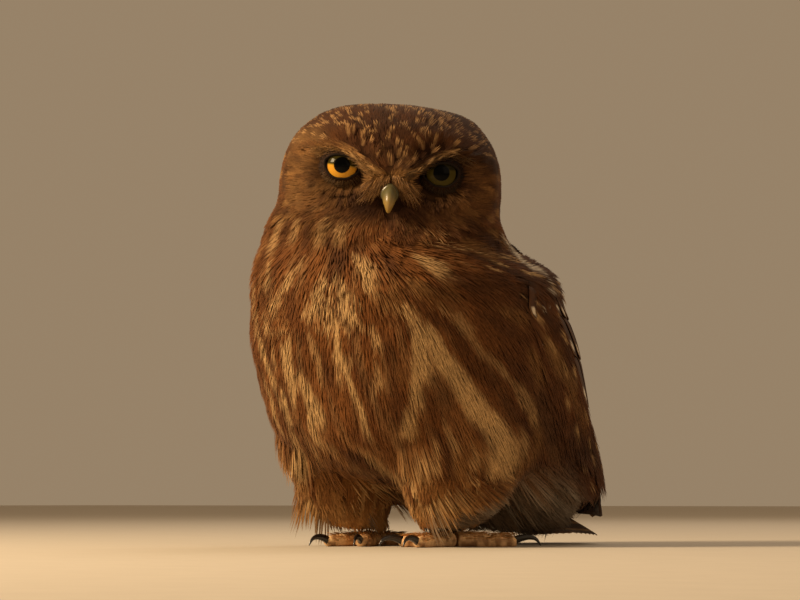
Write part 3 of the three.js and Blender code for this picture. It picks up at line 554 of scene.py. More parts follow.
    @classmethod
    def body(cls, t: Array, a: Array) -> Array:
        """Colours of the body: brown with long cream streaks in front, spotted behind, pale under the tail,
        with painted shade on the left flank and on the pale feathers under the tail.

        Args:
            t, a: places on the coat.

        Returns:
            (..., 3) colours.
        """
        t, a = np.broadcast_arrays(t, a)
        line = flow_line(t, a)
        u, v = line * 52, t * 17.5
        tone = mottle(u, v * 0.35, 4.5, 51)
        base = blend(BROWN * 0.9 + 0 * u[..., None], RUFOUS, 0.85 * tone)
        spread = np.abs(line)
        breast = 1 - ease(spread, 1.35, 1.7)
        streaks = drops(u, v, (8.6, 25), (2.5, 12), 61, 0.85, 0.5)
        low = drops(u, v, (10.5, 26), (4.0, 15), 71, 0.95, 0.55)
        wedge = drops(u, v, (19, 60), (6.4, 32), 83, 0.85, 0.6)
        front = np.maximum(streaks * (1 - ease(t, 9.2, 11)), low * ease(t, 8.8, 10.5))
        flank = ease(spread, 0.55, 0.9)
        front = np.maximum(front * (1 - 0.5 * flank), wedge * flank * ease(t, 7.3, 9))
        drawn = ease(a, -1.05, -0.8) * (1 - ease(a, 1.45, 1.7))
        colour = blend(base, CREAM, 0.95 * (1 - 0.85 * drawn) * breast * front * ease(t, 6.0, 7.2))
        # The left flank is darker: partly its own darker brown, partly painted shade on the side away from
        # the key light.
        dark_flank_and_painted_shade = 0.55 * ease(a, 0.9, 1.4) * (1 - ease(a, 1.7, 2.0))
        colour = blend(colour, UMBER * 1.7, dark_flank_and_painted_shade)
        back = ease(spread, 1.6, 1.95)
        colour = blend(colour, blend(UMBER * 1.5 + 0 * colour, BROWN, tone), back)
        spots = drops(u, v, (10, 12), (2.4, 2.7), 91, 0.85, 0.4)
        colour = blend(colour, CREAM, 0.9 * back * spots)
        # Under the tail, the pale feathers are laid in a darker grey-brown, as painted shade beneath the
        # body.
        pale = ease(t, 11.6, 13.0) * (1 - ease(spread, 1.3, 1.8))
        pale_in_painted_shade = blend(TAN * 0.3 + 0 * colour, WHITE * 0.45, mottle(u, v * 0.25, 3.0, 97))
        colour = blend(colour, pale_in_painted_shade, 0.85 * pale)
        place = COAT.point(np.minimum(t, BODY_END), a)
        trousers = (1 - ease(place[..., 2], 26, 44)) * (1 - ease(place[..., 1], 26, 38))
        return blend(colour, cls.trousers(place), trousers)

    @staticmethod
    def trousers(p: Array) -> Array:
        """Colours of the leg feathers: brown streaks on buff and cream, fading towards the foot.

        Args:
            p: (..., 3) places in the bird's frame.

        Returns:
            (..., 3) colours.
        """
        out, back, up = np.abs(p[..., 0]) - 26.5, p[..., 1] - 7, p[..., 2]
        u, v = np.arctan2(out, -back) * 20 + np.sign(p[..., 0]) * 200, up
        tone = mottle(u, v * 0.4, 3.5, 101)
        colour = blend(RUFOUS * 0.8 + 0 * u[..., None], TAN, 0.6 * tone)
        colour = blend(colour, CREAM, 0.6 * drops(u, v, (7.0, 24), (2.2, 12), 113, 0.8, 0.7))
        colour = blend(colour, TAN * 1.15, 0.7 * (1 - ease(up, 8, 17)))
        dark = drops(u, v, (8.0, 26), (2.6, 12), 111, 0.9, 0.6) * ease(up, 8, 20)
        return blend(colour, BROWN * 0.9, 0.9 * dark)

    @classmethod
    def coat(cls, t: Array, a: Array) -> Array:
        """Colours of the whole coat, the head's passing into the body's at the neck."""
        share = ease(t, 5.4, 6.8)[..., None]
        colour = cls.head(COAT.straight(np.minimum(t, 7), a)) * (1 - share) + cls.body(t, a) * share
        return cls.streaked(COAT.point(np.minimum(t, BODY_END), a), colour)

    @staticmethod
    def streaked(p: Array, colour: Array) -> Array:
        """Lays the streaks on a colour.

        Args:
            p: (..., 3) places in the bird's frame.
            colour: (..., 3) the colour under them.

        Returns:
            The colour with each streak laid where its line is nearer than its width, which swells to the
            lower end. Distances are on a chart: the turn times the place's own radius, and the height.
        """
        flat, out = p.reshape(-1, 3), colour.reshape(-1, 3).copy()
        turn, radius = np.arctan2(flat[:, 0], 10 - flat[:, 1]), np.hypot(flat[:, 0], flat[:, 1] - 10)
        waver = 1.3 * (mottle(flat[:, 0] + 0.7 * flat[:, 1], 0.6 * flat[:, 2], 1.7, 201) - 0.5)
        patchy = 0.68 + 0.4 * mottle(flat[:, 0] * 1.5 - flat[:, 1], 0.35 * flat[:, 2], 1.9, 203)
        layers = ((TAN_PATCHES, TAN * 0.62), (CREAM_STREAKS, CREAM * 0.8), (DARK_STREAKS, UMBER * 1.3),
                  (SHOULDER_SPOTS, WHITE))
        for streaks, tone in layers:
            for first, top, last, foot, wide, strength in streaks:
                first, last = math.radians(first), math.radians(last)
                inside = np.abs(turn - (first + last) / 2) < abs(last - first) / 2 + 2.2 * wide / 40
                apart = np.abs(flat[:, 2] - (top + foot) / 2)
                near = np.flatnonzero(inside & (apart < (top - foot) / 2 + 2.2 * wide + 1))
                off = np.stack([(turn[near] - first) * radius[near], flat[near, 2] - top], axis=-1)
                line = np.stack([(last - first) * radius[near], np.full(len(near), foot - top)], axis=-1)
                s = np.clip((off * line).sum(-1) / (line * line).sum(-1), 0, 1)
                distance = np.linalg.norm(off - s[:, None] * line, axis=-1) + waver[near]
                widths = distance / (wide * (0.75 + 0.55 * s))
                mask = strength * patchy[near] * (1 - ease(widths, 0.5, 1.45))
                out[near] = blend(out[near], tone, mask)
        return out.reshape(colour.shape)


# Mesh making


def mesh_object(name: str, points: Array, faces: Array) -> Object:
    """A new object from points in the bird's frame and triangles or quads.

    Args:
        name: the piece's name.
        points: (n, 3) places, in millimetres.
        faces: (m, 3) or (m, 4) indices.

    Returns:
        The linked object, its place in its mesh.
    """
    mesh = bpy.data.meshes.new(name)
    points = np.asarray(points, float).reshape(-1, 3)
    faces = np.asarray(faces, np.int32)
    corners = faces.shape[1]
    mesh.vertices.add(len(points))
    mesh.vertices.foreach_set("co", ((points + SHIFT) * MM).astype(np.float32).ravel())
    mesh.loops.add(faces.size)
    mesh.loops.foreach_set("vertex_index", faces.ravel())
    mesh.polygons.add(len(faces))
    mesh.polygons.foreach_set("loop_start", np.arange(0, faces.size, corners, dtype=np.int32))
    mesh.polygons.foreach_set("loop_total", np.full(len(faces), corners, dtype=np.int32))
    mesh.polygons.foreach_set("use_smooth", np.ones(len(faces), bool))
    mesh.update(calc_edges=True)
    piece = bpy.data.objects.new(name, mesh)
    bpy.context.collection.objects.link(piece)
    return piece


def add_uv(piece: Object, name: str, uv: Array) -> None:
    """Gives a mesh a UV map from one (u, v) for each vertex."""
    mesh = piece.data
    layer = mesh.uv_layers.new(name=name)
    index = np.empty(len(mesh.loops), np.int32)
    mesh.loops.foreach_get("vertex_index", index)
    layer.data.foreach_set("uv", np.asarray(uv, np.float32).reshape(-1, 2)[index].ravel())


def add_normals(piece: Object, facing: Array) -> None:
    """Shades a mesh by one given direction for each vertex, so that fine locks read as one coat."""
    layer = piece.data.attributes.new("custom_normal", "FLOAT_VECTOR", "POINT")
    layer.data.foreach_set("vector", unit(facing).astype(np.float32).ravel())


def add_colour(piece: Object, colour: Array) -> None:
    """Gives a mesh the attribute Markings, one linear colour for each vertex."""
    rgba = np.ones((len(piece.data.vertices), 4), np.float32)
    rgba[:, :3] = np.clip(np.asarray(colour).reshape(-1, 3), 0, 1)
    layer = piece.data.color_attributes.new("MarkingsAndPaintedShade", "FLOAT_COLOR", "POINT")
    layer.data.foreach_set("color", rgba.ravel())


def grid_faces(rows: int, columns: int, wrap: bool = False) -> Array:
    """Quads over a grid of rows by columns of points, closed round its columns if wrap."""
    i, j = np.meshgrid(np.arange(rows - 1), np.arange(columns if wrap else columns - 1), indexing="ij")
    k = (j + 1) % columns
    quads = np.stack([i * columns + j, (i + 1) * columns + j, (i + 1) * columns + k, i * columns + k],
                     axis=-1)
    return quads.reshape(-1, 4)


def halved(quads: Array) -> Array:
    """Each quad as two triangles, the first halves before the second ones."""
    return np.concatenate([quads[:, [0, 1, 2]], quads[:, [0, 2, 3]]])


def tube(rings: Array) -> tuple[Array, Array]:
    """A closed tube from rings of points, its ends drawn to their middles.

    Args:
        rings: (r, c, 3) places, running round the tube against the clock seen from its end.

    Returns:
        The points and triangles, each end's cap a fan round its middle.
    """
    r, c, _ = rings.shape
    points = np.concatenate([rings.reshape(-1, 3), rings[0].mean(0)[None], rings[-1].mean(0)[None]])
    side = grid_faces(r, c, True)
    k = np.arange(c)
    start = np.stack([k, (k + 1) % c, np.full(c, r * c)], axis=-1)
    end = np.stack([(r - 1) * c + (k + 1) % c, (r - 1) * c + k, np.full(c, r * c + 1)], axis=-1)
    return points, np.concatenate([halved(side), start, end])


def outward(points: Array, triangles: Array) -> Array:
    """The triangles of a closed shape, turned over if its volume comes out negative."""
    a, b, c = (points[triangles[:, k]] for k in range(3))
    volume = (a * np.cross(b, c)).sum()
    return triangles if volume > 0 else triangles[:, ::-1]


def merged(parts: list[tuple[Array, Array]]) -> tuple[Array, Array]:
    """Several closed shapes as one mesh, each with its faces outwards."""
    points, triangles, start = [], [], 0
    for p, f in parts:
        points.append(p)
        triangles.append(outward(p, f) + start)
        start += len(p)
    return np.concatenate(points), np.concatenate(triangles)


# Finishes


def node_group(name: str, inputs: dict[str, float | tuple], outputs: dict[str, str]) -> NodeTree:
    """A new shader node group with its sockets.

    Args:
        name: the group's name.
        inputs: each input's name and default, a number or a colour.
        outputs: each output's name and kind, "Color" or "Float".

    Returns:
        The group, with its input and output nodes placed as "in" and "out".
    """
    tree = bpy.data.node_groups.new(name, "ShaderNodeTree")
    for key, value in inputs.items():
        kind = "NodeSocketFloat" if isinstance(value, (int, float)) else "NodeSocketColor"
        tree.interface.new_socket(key, in_out="INPUT", socket_type=kind).default_value = value
    for key, kind in outputs.items():
        tree.interface.new_socket(key, in_out="OUTPUT", socket_type=f"NodeSocket{kind}")
    tree.nodes.new("NodeGroupInput").name = "in"
    tree.nodes.new("NodeGroupOutput").name = "out"
    return tree


def new_node(tree: NodeTree, kind: str, links: dict | None = None, **values) -> bpy.types.Node:
    """A shader node with settings and inputs.

    Args:
        tree: where it goes.
        kind: its type without the ShaderNode prefix.
        links: each input's name or index, and the socket or the value that it takes.
        values: attributes of the node itself.

    Returns:
        The node.
    """
    node = tree.nodes.new("ShaderNode" + kind)
    for key, value in values.items():
        setattr(node, key, value)
    for key, value in (links or {}).items():
        if isinstance(value, bpy.types.NodeSocket):
            tree.links.new(value, node.inputs[key])
        else:
            node.inputs[key].default_value = value
    return node


def maths(tree: NodeTree, operation: str, *values) -> bpy.types.NodeSocket:
    """The result of a Math node on sockets or numbers, given in order."""
    return new_node(tree, "Math", dict(enumerate(values)), operation=operation).outputs[0]


def clamped(tree: NodeTree, operation: str, *values) -> bpy.types.NodeSocket:
    """The result of a Math node, kept from 0 to 1."""
    made = new_node(tree, "Math", dict(enumerate(values)), operation=operation, use_clamp=True)
    return made.outputs[0]


def mixed(tree: NodeTree, share, low, high) -> bpy.types.NodeSocket:
    """The colour low where share is 0 and high where it is 1."""
    return new_node(tree, "Mix", {"Factor": share, 6: low, 7: high}, data_type="RGBA").outputs[2]


def fine_grain_group() -> NodeTree:
    """A group that varies a colour by fine streaky noise and gives a height for bump."""
    tree = node_group(
        "FineGrain",
        {"Colour": (0.5, 0.5, 0.5, 1), "Scale": 400.0, "Contrast": 0.3, "Broad": 0.15},
        {"Colour": "Color", "Height": "Float"},
    )
    given, out = tree.nodes["in"].outputs, tree.nodes["out"].inputs
    where = new_node(tree, "TexCoord").outputs["Object"]
    fine = new_node(tree, "TexNoise",
                    {"Vector": where, "Scale": given["Scale"], "Detail": 3.0, "Roughness": 0.65})
    wide = new_node(tree, "TexNoise", {"Vector": where, "Scale": 55.0, "Detail": 2.0})
    strong = maths(tree, "MULTIPLY", maths(tree, "SUBTRACT", fine.outputs["Fac"], 0.5), given["Contrast"])
    broad = maths(tree, "MULTIPLY", maths(tree, "SUBTRACT", wide.outputs["Fac"], 0.5), given["Broad"])
    gain = maths(tree, "MULTIPLY_ADD", maths(tree, "ADD", strong, broad), 2.0, 1.0)
    tint = new_node(tree, "VectorMath", {0: given["Colour"], 1: gain}, operation="MULTIPLY")
    tree.links.new(tint.outputs[0], out["Colour"])
    tree.links.new(fine.outputs["Fac"], out["Height"])
    return tree


def iris_group() -> NodeTree:
    """A group that paints an eye by the angle from its axis, which is the map's v times 180 degrees,
    darkened by the painted shade in the eyeball's colour attribute.
    """
    tree = node_group(
        "IrisRings",
        {"Iris": (0.85, 0.42, 0.035, 1), "Shade": (0.25, 0.10, 0.015, 1), "Pupil": 19.0, "Edge": 38.5},
        {"Colour": "Color", "Height": "Float"},
    )
    given, out = tree.nodes["in"].outputs, tree.nodes["out"].inputs
    uv = new_node(tree, "UVMap", uv_map="UVMap")
    parts = new_node(tree, "SeparateXYZ", {0: uv.outputs[0]})
    angle = maths(tree, "MULTIPLY", parts.outputs["Y"], 180.0)
    along = maths(tree, "MULTIPLY", parts.outputs["X"], 90.0)
    spoke = new_node(tree, "CombineXYZ", {0: along, 1: maths(tree, "MULTIPLY", angle, 0.12)})
    fibre = new_node(tree, "TexNoise", {"Vector": spoke.outputs[0], "Scale": 1.0, "Detail": 4.0})
    reach = new_node(tree, "MapRange", {"Value": angle, 1: given["Pupil"], 2: given["Edge"]})
    dark = maths(tree, "MULTIPLY_ADD", fibre.outputs["Fac"], 0.55, 0.1)
    edge = maths(tree, "POWER", maths(tree, "MULTIPLY_ADD", reach.outputs[0], 2.0, -1.0), 4.0)
    shade = clamped(tree, "MAXIMUM", edge, dark)
    iris = mixed(tree, shade, given["Iris"], given["Shade"])
    lit = clamped(tree, "MULTIPLY", maths(tree, "SUBTRACT", angle, given["Pupil"]), 1.2)
    inner = mixed(tree, lit, (0.002, 0.002, 0.002, 1), iris)
    rim = clamped(tree, "MULTIPLY", maths(tree, "SUBTRACT", angle, given["Edge"]), 0.6)
    whole = mixed(tree, rim, inner, (0.01, 0.007, 0.005, 1))
    # Painted shade: the colour attribute carries the shade painted on the iris.
    painted_shade = new_node(tree, "Attribute", attribute_name="MarkingsAndPaintedShade", attribute_type="GEOMETRY")
    shaded = new_node(tree, "VectorMath", {0: whole, 1: painted_shade.outputs["Color"]}, operation="MULTIPLY")
    tree.links.new(shaded.outputs[0], out["Colour"])
    tree.links.new(fibre.outputs["Fac"], out["Height"])
    return tree


class Groups:
    """The shared shader groups, each built once."""

    made: dict[str, NodeTree] = {}

    @classmethod
    def get(cls, maker: Callable[[], NodeTree]) -> NodeTree:
        """The group that maker builds, built on first use."""
        if maker.__name__ not in cls.made:
            cls.made[maker.__name__] = maker()
        return cls.made[maker.__name__]


class Source(Enum):
    """Where a finish takes its colour from."""

    MARKINGS_AND_SHADE = "attribute"
    PLAIN = "plain"
    IRIS = "iris"


@dataclass(frozen=True)
class Finish:
    """A surface finish: its colour's source, gloss, grain and bump."""

    name: str
    source: Source = Source.MARKINGS_AND_SHADE
    colour: tuple[float, float, float] = (0.5, 0.5, 0.5)
    roughness: float = 0.8
    specular: float = 0.25
    sheen: float = 0.0
    coat: float = 0.0
    scale: float = 400.0
    contrast: float = 0.3
    broad: float = 0.2
    bump: float = 0.3
    bump_reach: float = 0.0002

    def material(self) -> bpy.types.Material:
        """Builds the node material."""
        made = bpy.data.materials.new(self.name)
        made.use_nodes = True
        tree = made.node_tree
        shader = tree.nodes["Principled BSDF"]
        for key, value in {
            "Roughness": self.roughness, "Specular IOR Level": self.specular, "Sheen Weight": self.sheen,
            "Coat Weight": self.coat, "Coat Roughness": 0.03,
        }.items():
            shader.inputs[key].default_value = value
        if self.source is Source.IRIS:
            rings = new_node(tree, "Group", node_tree=Groups.get(iris_group))
            colour, height = rings.outputs["Colour"], rings.outputs["Height"]
        else:
            grain = new_node(tree, "Group", node_tree=Groups.get(fine_grain_group))
            grain.inputs["Scale"].default_value = self.scale
            grain.inputs["Contrast"].default_value = self.contrast
            grain.inputs["Broad"].default_value = self.broad
            if self.source is Source.MARKINGS_AND_SHADE:
                layer = new_node(tree, "Attribute", attribute_name="MarkingsAndPaintedShade", attribute_type="GEOMETRY")
                tree.links.new(layer.outputs["Color"], grain.inputs["Colour"])
            else:
                grain.inputs["Colour"].default_value = (*self.colour, 1)
            colour, height = grain.outputs["Colour"], grain.outputs["Height"]
        tree.links.new(colour, shader.inputs["Base Color"])
        bump = new_node(tree, "Bump",
                        {"Height": height, "Strength": self.bump, "Distance": self.bump_reach})
        tree.links.new(bump.outputs[0], shader.inputs["Normal"])
        return made


FEATHER = Finish("feather", roughness=0.8, specular=0.12, sheen=0.03, scale=900, contrast=0.5, broad=0.3,
                 bump=0.4)
SKIN = Finish("under_feather", roughness=0.9, specular=0.1, scale=700, contrast=0.5, bump=0.6)
VANE = Finish("flight_feather", roughness=0.6, specular=0.22, sheen=0.02, scale=1100, contrast=0.35,
              bump=0.35)
BRISTLE = Finish("bristle", roughness=0.5, specular=0.3, scale=600, contrast=0.3)
HORN = Finish("bill_horn", roughness=0.36, specular=0.45, coat=0.12, scale=500, contrast=0.12, broad=0.2,
              bump=0.12)
CLAW = Finish("claw_horn", roughness=0.25, specular=0.5, coat=0.3, scale=700, contrast=0.3, bump=0.15)
LEATHER = Finish("toe_skin", roughness=0.6, specular=0.35, scale=900, contrast=0.4, bump=0.5)
LID = Finish("lid_skin", roughness=0.75, specular=0.12, scale=1400, contrast=0.4, bump=0.5)
EYEBALL = Finish("eye", Source.IRIS, roughness=0.15, specular=0.05, coat=0.05, bump=0.1)
FLOOR = Finish("floor", Source.PLAIN, colour=(0.62, 0.55, 0.46), roughness=0.85, scale=60, contrast=0.05,
               broad=0.03, bump=0.02)


def dress(piece: Object, finish: Finish, replaced: tuple[str, ...] = ()) -> Object:
    """Gives a piece its finish, the body that it rides on and the solids that it stands for."""
    made = bpy.data.materials.get(finish.name) or finish.material()
    piece.data.materials.append(made)
    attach(piece, "root")
    if replaced:
        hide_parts(*replaced)
    LOG.info("%s: %d faces", piece.name, len(piece.data.polygons))
    return piece


# Skin


@dataclass
class Skin:
    """The body's skin under the coat, with both thighs: one closed surface for all the nodes of flesh."""

    rows: int = 150
    columns: int = 200
    leg_rows: int = 40
    leg_columns: int = 64

    @staticmethod
    def depth(t: Array) -> Array:
        """How deep the skin lies under the coat's outline, in millimetres."""
        return np.interp(t, [0, 3, 5.5, 6.5, 8, 13, 14], [2.0, 1.8, 2.2, 3.2, 4.4, 4.0, 1.5])

    def build(self) -> Object:
        """Sweeps the outline, sunk by the coat's depth, and the two leg surfaces into one piece."""
        t = np.linspace(0.04, BODY_END - 0.02, self.rows)[:, None]
        a = np.linspace(-math.pi, math.pi, self.columns, endpoint=False)[None, :]
        t, a = np.broadcast_arrays(t, a)
        body = tube(COAT.lifted(t, a, -self.depth(t)))
        tints = [self.tint(MarkingsAndPaintedShade.coat(t, a))]
        parts = [body]
        for side in SIDES.values():
            leg = Ovals(side)
            row = np.linspace(0, 6, self.leg_rows)[:, None]
            angle = np.linspace(-math.pi, math.pi, self.leg_columns, endpoint=False)[None, :]
            row, angle = np.broadcast_arrays(row, angle)
            parts.append(tube(leg.lifted(row, angle, -1.8)))
            tints.append(self.tint(MarkingsAndPaintedShade.trousers(leg.point(row, angle))))
        piece = mesh_object("skin", *merged(parts))
        add_colour(piece, np.concatenate(tints))
        nodes = ["head", "neck", "torso"]
        nodes += [f"{part}_{side}" for part in ("thigh", "shank") for side in SIDES]
        return dress(piece, SKIN, tuple(nodes))

    @staticmethod
    def tint(colour: Array) -> Array:
        """The coat's markings, darker, with a colour added for each of the two poles."""
        flat = colour.reshape(-1, 3) * 0.45
        return np.concatenate([flat, flat[:1], flat[-1:]])


# Small feathers


@dataclass
class Tuft:
    """How a stretch of coat is cut: sizes in millimetres, as functions of the place if they vary."""

    length: Array
    width: Array
    depth: Array
    rise: Array
    locks: int = 6
    thick: float = 0.22
    ragged: float = 0.12
    loose: float = 0.16
    badge: Array | None = None
    badge_colour: tuple[float, float, float] = (0.36, 0.2, 0.08)


class Coat:
    """Feathers on a surface, each a fan of tapered locks that follows the surface's curve."""

    RINGS = np.array([0.0, 0.42, 0.78])
    PROFILE = np.array([0.75, 1.0, 0.72])
    PATCH = 0.003
    RIDGE = 0.3

    def __init__(self, surface: Surface, seed: int) -> None:
        """Keeps the surface and starts a seeded draw."""
        self.surface = surface
        self.draw = np.random.default_rng(seed)

    def scatter(self, u_low: float, u_high: float, pitch: Callable[[Array], Array],
                across: Callable[[Array], Array]) -> tuple[Array, Array]:
        """Roots in staggered rows, evenly spaced along and around.

        Args:
            u_low, u_high: where the rows start and end.
            pitch: the spacing of the rows in millimetres at each u.
            across: the spacing in a row in millimetres at each u.

        Returns:
            The roots' u and v.
        """
        ring = np.linspace(-math.pi, math.pi, 361)
        us, vs, u = [], [], u_low
        while u < u_high:
            line = self.surface.point(np.full(361, u), ring)
            reach = np.concatenate([[0], np.cumsum(np.linalg.norm(np.diff(line, axis=0), axis=1))])
            count = max(int(reach[-1] / float(across(u))), 3)
            place = (np.arange(count) + self.draw.uniform(0, 1)
                     + self.draw.uniform(-0.3, 0.3, count)) / count
            v = np.interp((place % 1) * reach[-1], reach, ring)
            stretch = np.linalg.norm(np.cross(*self.surface.tangents(np.full(count, u), v)), axis=1)
            girth = np.linalg.norm(self.surface.tangents(np.full(count, u), v)[1], axis=1)
            stretch = stretch / np.maximum(girth, 1e-3)
            widest = max(float(np.percentile(stretch, 96)), 1e-3)
            step = float(pitch(u)) / widest
            keep = self.draw.uniform(0, 1, count) < stretch / widest
            us.append((u + step * self.draw.uniform(-0.4, 0.4, count))[keep])
            vs.append(v[keep])
            u += step
        return np.clip(np.concatenate(us), u_low, u_high), np.concatenate(vs)

    def grow(self, name: str, u: Array, v: Array, ahead: Array, tuft: Tuft,
             paint: Callable[[Array, Array], Array],
             unwrap: Callable[[Array, Array], Array]) -> Object:
        """Builds the feathers rooted at (u, v).

        Args:
            name: the piece's name.
            u, v: (n,) roots.
            ahead: (n, 3) directions, made tangent here.
            tuft: their sizes, each a number or (n,).
            paint: the colour at places (u, v).
            unwrap: the root's place on the skin's unwrap.

        Returns:
            One joined mesh. A lock runs along the surface's own curve, from a root sunk under the skin to a
            tip near the outline, with a flat triangle for its section.
        """
        def each(values: Array) -> Array:
            """A value or a vector of each feather, set against its locks, rings and corners."""
            return values[:, None, None, None]

        n, m, r = len(u), tuft.locks, len(self.RINGS)
        root = self.surface.point(u, v)
        along, around = self.surface.tangents(u, v)
        normal = unit(np.cross(along, around))
        ahead = unit(ahead - (ahead * normal).sum(-1, keepdims=True) * normal)
        aside = np.cross(normal, ahead)
        bend_ahead = self.bend(u, v, along, around, normal, ahead)
        bend_aside = self.bend(u, v, along, around, normal, aside)
        fan = np.linspace(-1, 1, m)[None, :] + self.draw.uniform(-0.5, 0.5, (n, m)) / m
        size = np.broadcast_to(np.asarray(tuft.length, float), (n,))[:, None]
        length = size * (1 - 0.3 * fan**2) * (1 + tuft.ragged * self.draw.uniform(-1, 1, (n, m)))
        width = np.broadcast_to(np.asarray(tuft.width, float), (n,))[:, None]
        lock = 0.5 * width / m
        s = np.concatenate([self.RINGS, [1.0]])[None, None, :]
        shape = np.concatenate([self.PROFILE, [0.0]])[None, None, :]
        sway = self.draw.uniform(-0.12, 0.12, (n, m))[..., None] * width[..., None]
        centre = 0.5 * width[..., None] * fan[..., None] * (0.35 + 0.65 * s**0.7) + sway * s**2
        x = s * length[..., None]
        depth = np.broadcast_to(np.asarray(tuft.depth, float), (n,))[:, None, None]
        rise = np.broadcast_to(np.asarray(tuft.rise, float), (n,))[:, None, None]
        lift = -depth * (1 - s) ** 1.4 + rise * s - 0.25 * (fan**2)[..., None] * (1 - 0.5 * s)
        lift = lift + self.draw.uniform(-1, 1, (n, m))[..., None] * tuft.loose * s
        spread = lock[..., None] * shape
        corner = np.array([-1.0, 0.0, 1.0])
        y = centre[..., None] + spread[..., None] * corner
        up = lift[..., None] + tuft.thick * shape[..., None] * np.array([0.0, 1.0, 0.0])
        xs = np.broadcast_to(x[..., None], y.shape)
        drop = 0.5 * (each(bend_ahead) * xs**2 + each(bend_aside) * y**2)
        places = (
            each(root)
            + each(ahead) * xs[..., None]
            + each(aside) * y[..., None]
            + each(normal) * (up - drop)[..., None]
        )
        places[..., 2] = np.maximum(places[..., 2], 0.2)
        du, dv = self.surface.steps(along, around, ahead)
        eu, ev = self.surface.steps(along, around, aside)
        shifted = xs + self.draw.uniform(-1.3, 1.3, (n, m))[..., None, None]
        pu = each(u) + each(du) * shifted + each(eu) * y
        pv = each(v) + each(dv) * shifted + each(ev) * y
        tone = 1 + self.draw.uniform(-0.06, 0.06, (n, m))[..., None, None]
        tone = tone * (1 + self.draw.uniform(-0.13, 0.13, n)[:, None, None, None])
        # Painted shade: each lock is darker towards its root, where the locks over it overlap.
        shade = 0.6 + 0.4 * ease(s, 0.05, 0.5)[..., None]
        colour = paint(pu, pv)
        if tuft.badge is not None:
            spot = each(tuft.badge) * (1 - ease(np.abs(fan), 0.5, 0.8))[..., None, None]
            colour = blend(colour, np.array(tuft.badge_colour),
                           np.clip(spot * ease(s, 0.3, 0.5)[..., None], 0, 1) + 0 * y)
        colour = colour * (tone * shade)[..., None]
        patch = each(unwrap(u, v)) + self.PATCH * np.stack(
            [np.broadcast_to(0.5 * fan[:, :, None, None] + 0 * y, y.shape),
             np.broadcast_to(s[..., None] - 0.5 + 0 * y, y.shape)],
            axis=-1)
        keep = np.ones((r + 1, 3), bool)
        keep[-1, 1:] = False
        flat = keep.ravel()

        def picked(values: Array) -> Array:
            """The values of the kept corners, one row for each vertex."""
            return values.reshape(n * m, (r + 1) * 3, -1)[:, flat].reshape(-1, values.shape[-1])

        piece = mesh_object(name, picked(places), self.faces(n * m))
        along_lock = np.broadcast_to(s[..., None], y.shape)
        add_uv(piece, "UVMap",
               picked(np.stack([np.broadcast_to(corner / 2 + 0.5, y.shape), along_lock], axis=-1)))
        add_uv(piece, "OFBake", picked(patch))
        tilt = (each(bend_aside) * y + self.RIDGE * corner)[..., None]
        facing = each(normal) + each(aside) * tilt
        facing = facing + each(ahead) * (each(bend_ahead) * xs + 0.08)[..., None]
        add_normals(piece, picked(facing))
        add_colour(piece, picked(colour))
        return piece

    def bend(self, u: Array, v: Array, along: Array, around: Array, normal: Array,
             direction: Array) -> Array:
        """The surface's curvature in a direction, from how far the normal turns over two millimetres."""
        du, dv = self.surface.steps(along, around, direction)
        step = 2.0
        ahead = self.surface.normal(u + du * step, v + dv * step)
        back = self.surface.normal(u - du * step, v - dv * step)
        return np.clip(((ahead - back) * direction).sum(-1) / (2 * step), -0.02, 0.06)

    @classmethod
    def faces(cls, count: int) -> Array:
        """Triangles of many locks: a base, two bands of sides and a pointed tip each."""
        r = len(cls.RINGS)
        one = [[0, 2, 1]]
        for i in range(r - 1):
            for j in range(3):
                a, b = i * 3 + j, i * 3 + (j + 1) % 3
                one += [[a, b, b + 3], [a, b + 3, a + 3]]
        for j in range(3):
            one.append([(r - 1) * 3 + j, (r - 1) * 3 + (j + 1) % 3, r * 3])
        one = np.array(one)[:, ::-1]
        return (one[None] + (np.arange(count) * (r * 3 + 1))[:, None, None]).reshape(-1, 3)


def body_lie(t: Array, a: Array) -> Array:
    """Which way the feathers lie: out from the eyes and bill over the head, and down the body.

    Args:
        t, a: roots on the coat.

    Returns:
        (n, 3) directions, not yet tangent.
    """
    p = COAT.straight(t, a)
    radial = unit(p - BILL_ROOT)
    behind = ease(p[:, 1], -12, 30)[:, None]
    head = radial * (1 - behind) + np.array([0, 0.35, -1.2]) * behind
    eye = EYE * np.stack([np.sign(p[:, 0]), np.ones(len(p)), np.ones(len(p))], axis=1)
    away = p - eye
    near = (1 - ease(np.linalg.norm(away[:, [0, 2]], axis=1), 8, 18)) * (p[:, 1] < -10)
    head = head * (1 - near[:, None]) + unit(away) * near[:, None]
    brow = (bell(path_distance(np.stack([np.abs(p[:, 0]), p[:, 2]], axis=-1), BROW_LINE), 3.0)
            * (p[:, 1] < -10))[:, None]
    over_brow = np.stack([0.9 * np.sign(p[:, 0]), 0 * p[:, 0], 0.35 + 0 * p[:, 0]], axis=1)
    head = head * (1 - brow) + over_brow * brow
    turn = 1 - ease(t, HEAD_TURNED_UP_TO, BODY_STARTS_AT)
    down, around = COAT.tangents(t, a)
    step = 0.01
    by_t = (flow_line(t + step, a) - flow_line(t - step, a)) / (2 * step)
    by_a = (flow_line(t, a + step) - flow_line(t, a - step)) / (2 * step)
    body = unit(down - around * (by_t / np.maximum(by_a, 0.2))[:, None])
    share = ease(t, 4.9, 6.2)[:, None]
    return turned_vector(head, turn) * (1 - share) + body * share


def coat_unwrap(t: Array, a: Array) -> Array:
    """The skin's unwrap: the angle across and the station down, in a square."""
    return np.stack([0.5 + 0.47 * a / math.pi, 0.97 - 0.94 * t / LAST], axis=-1)


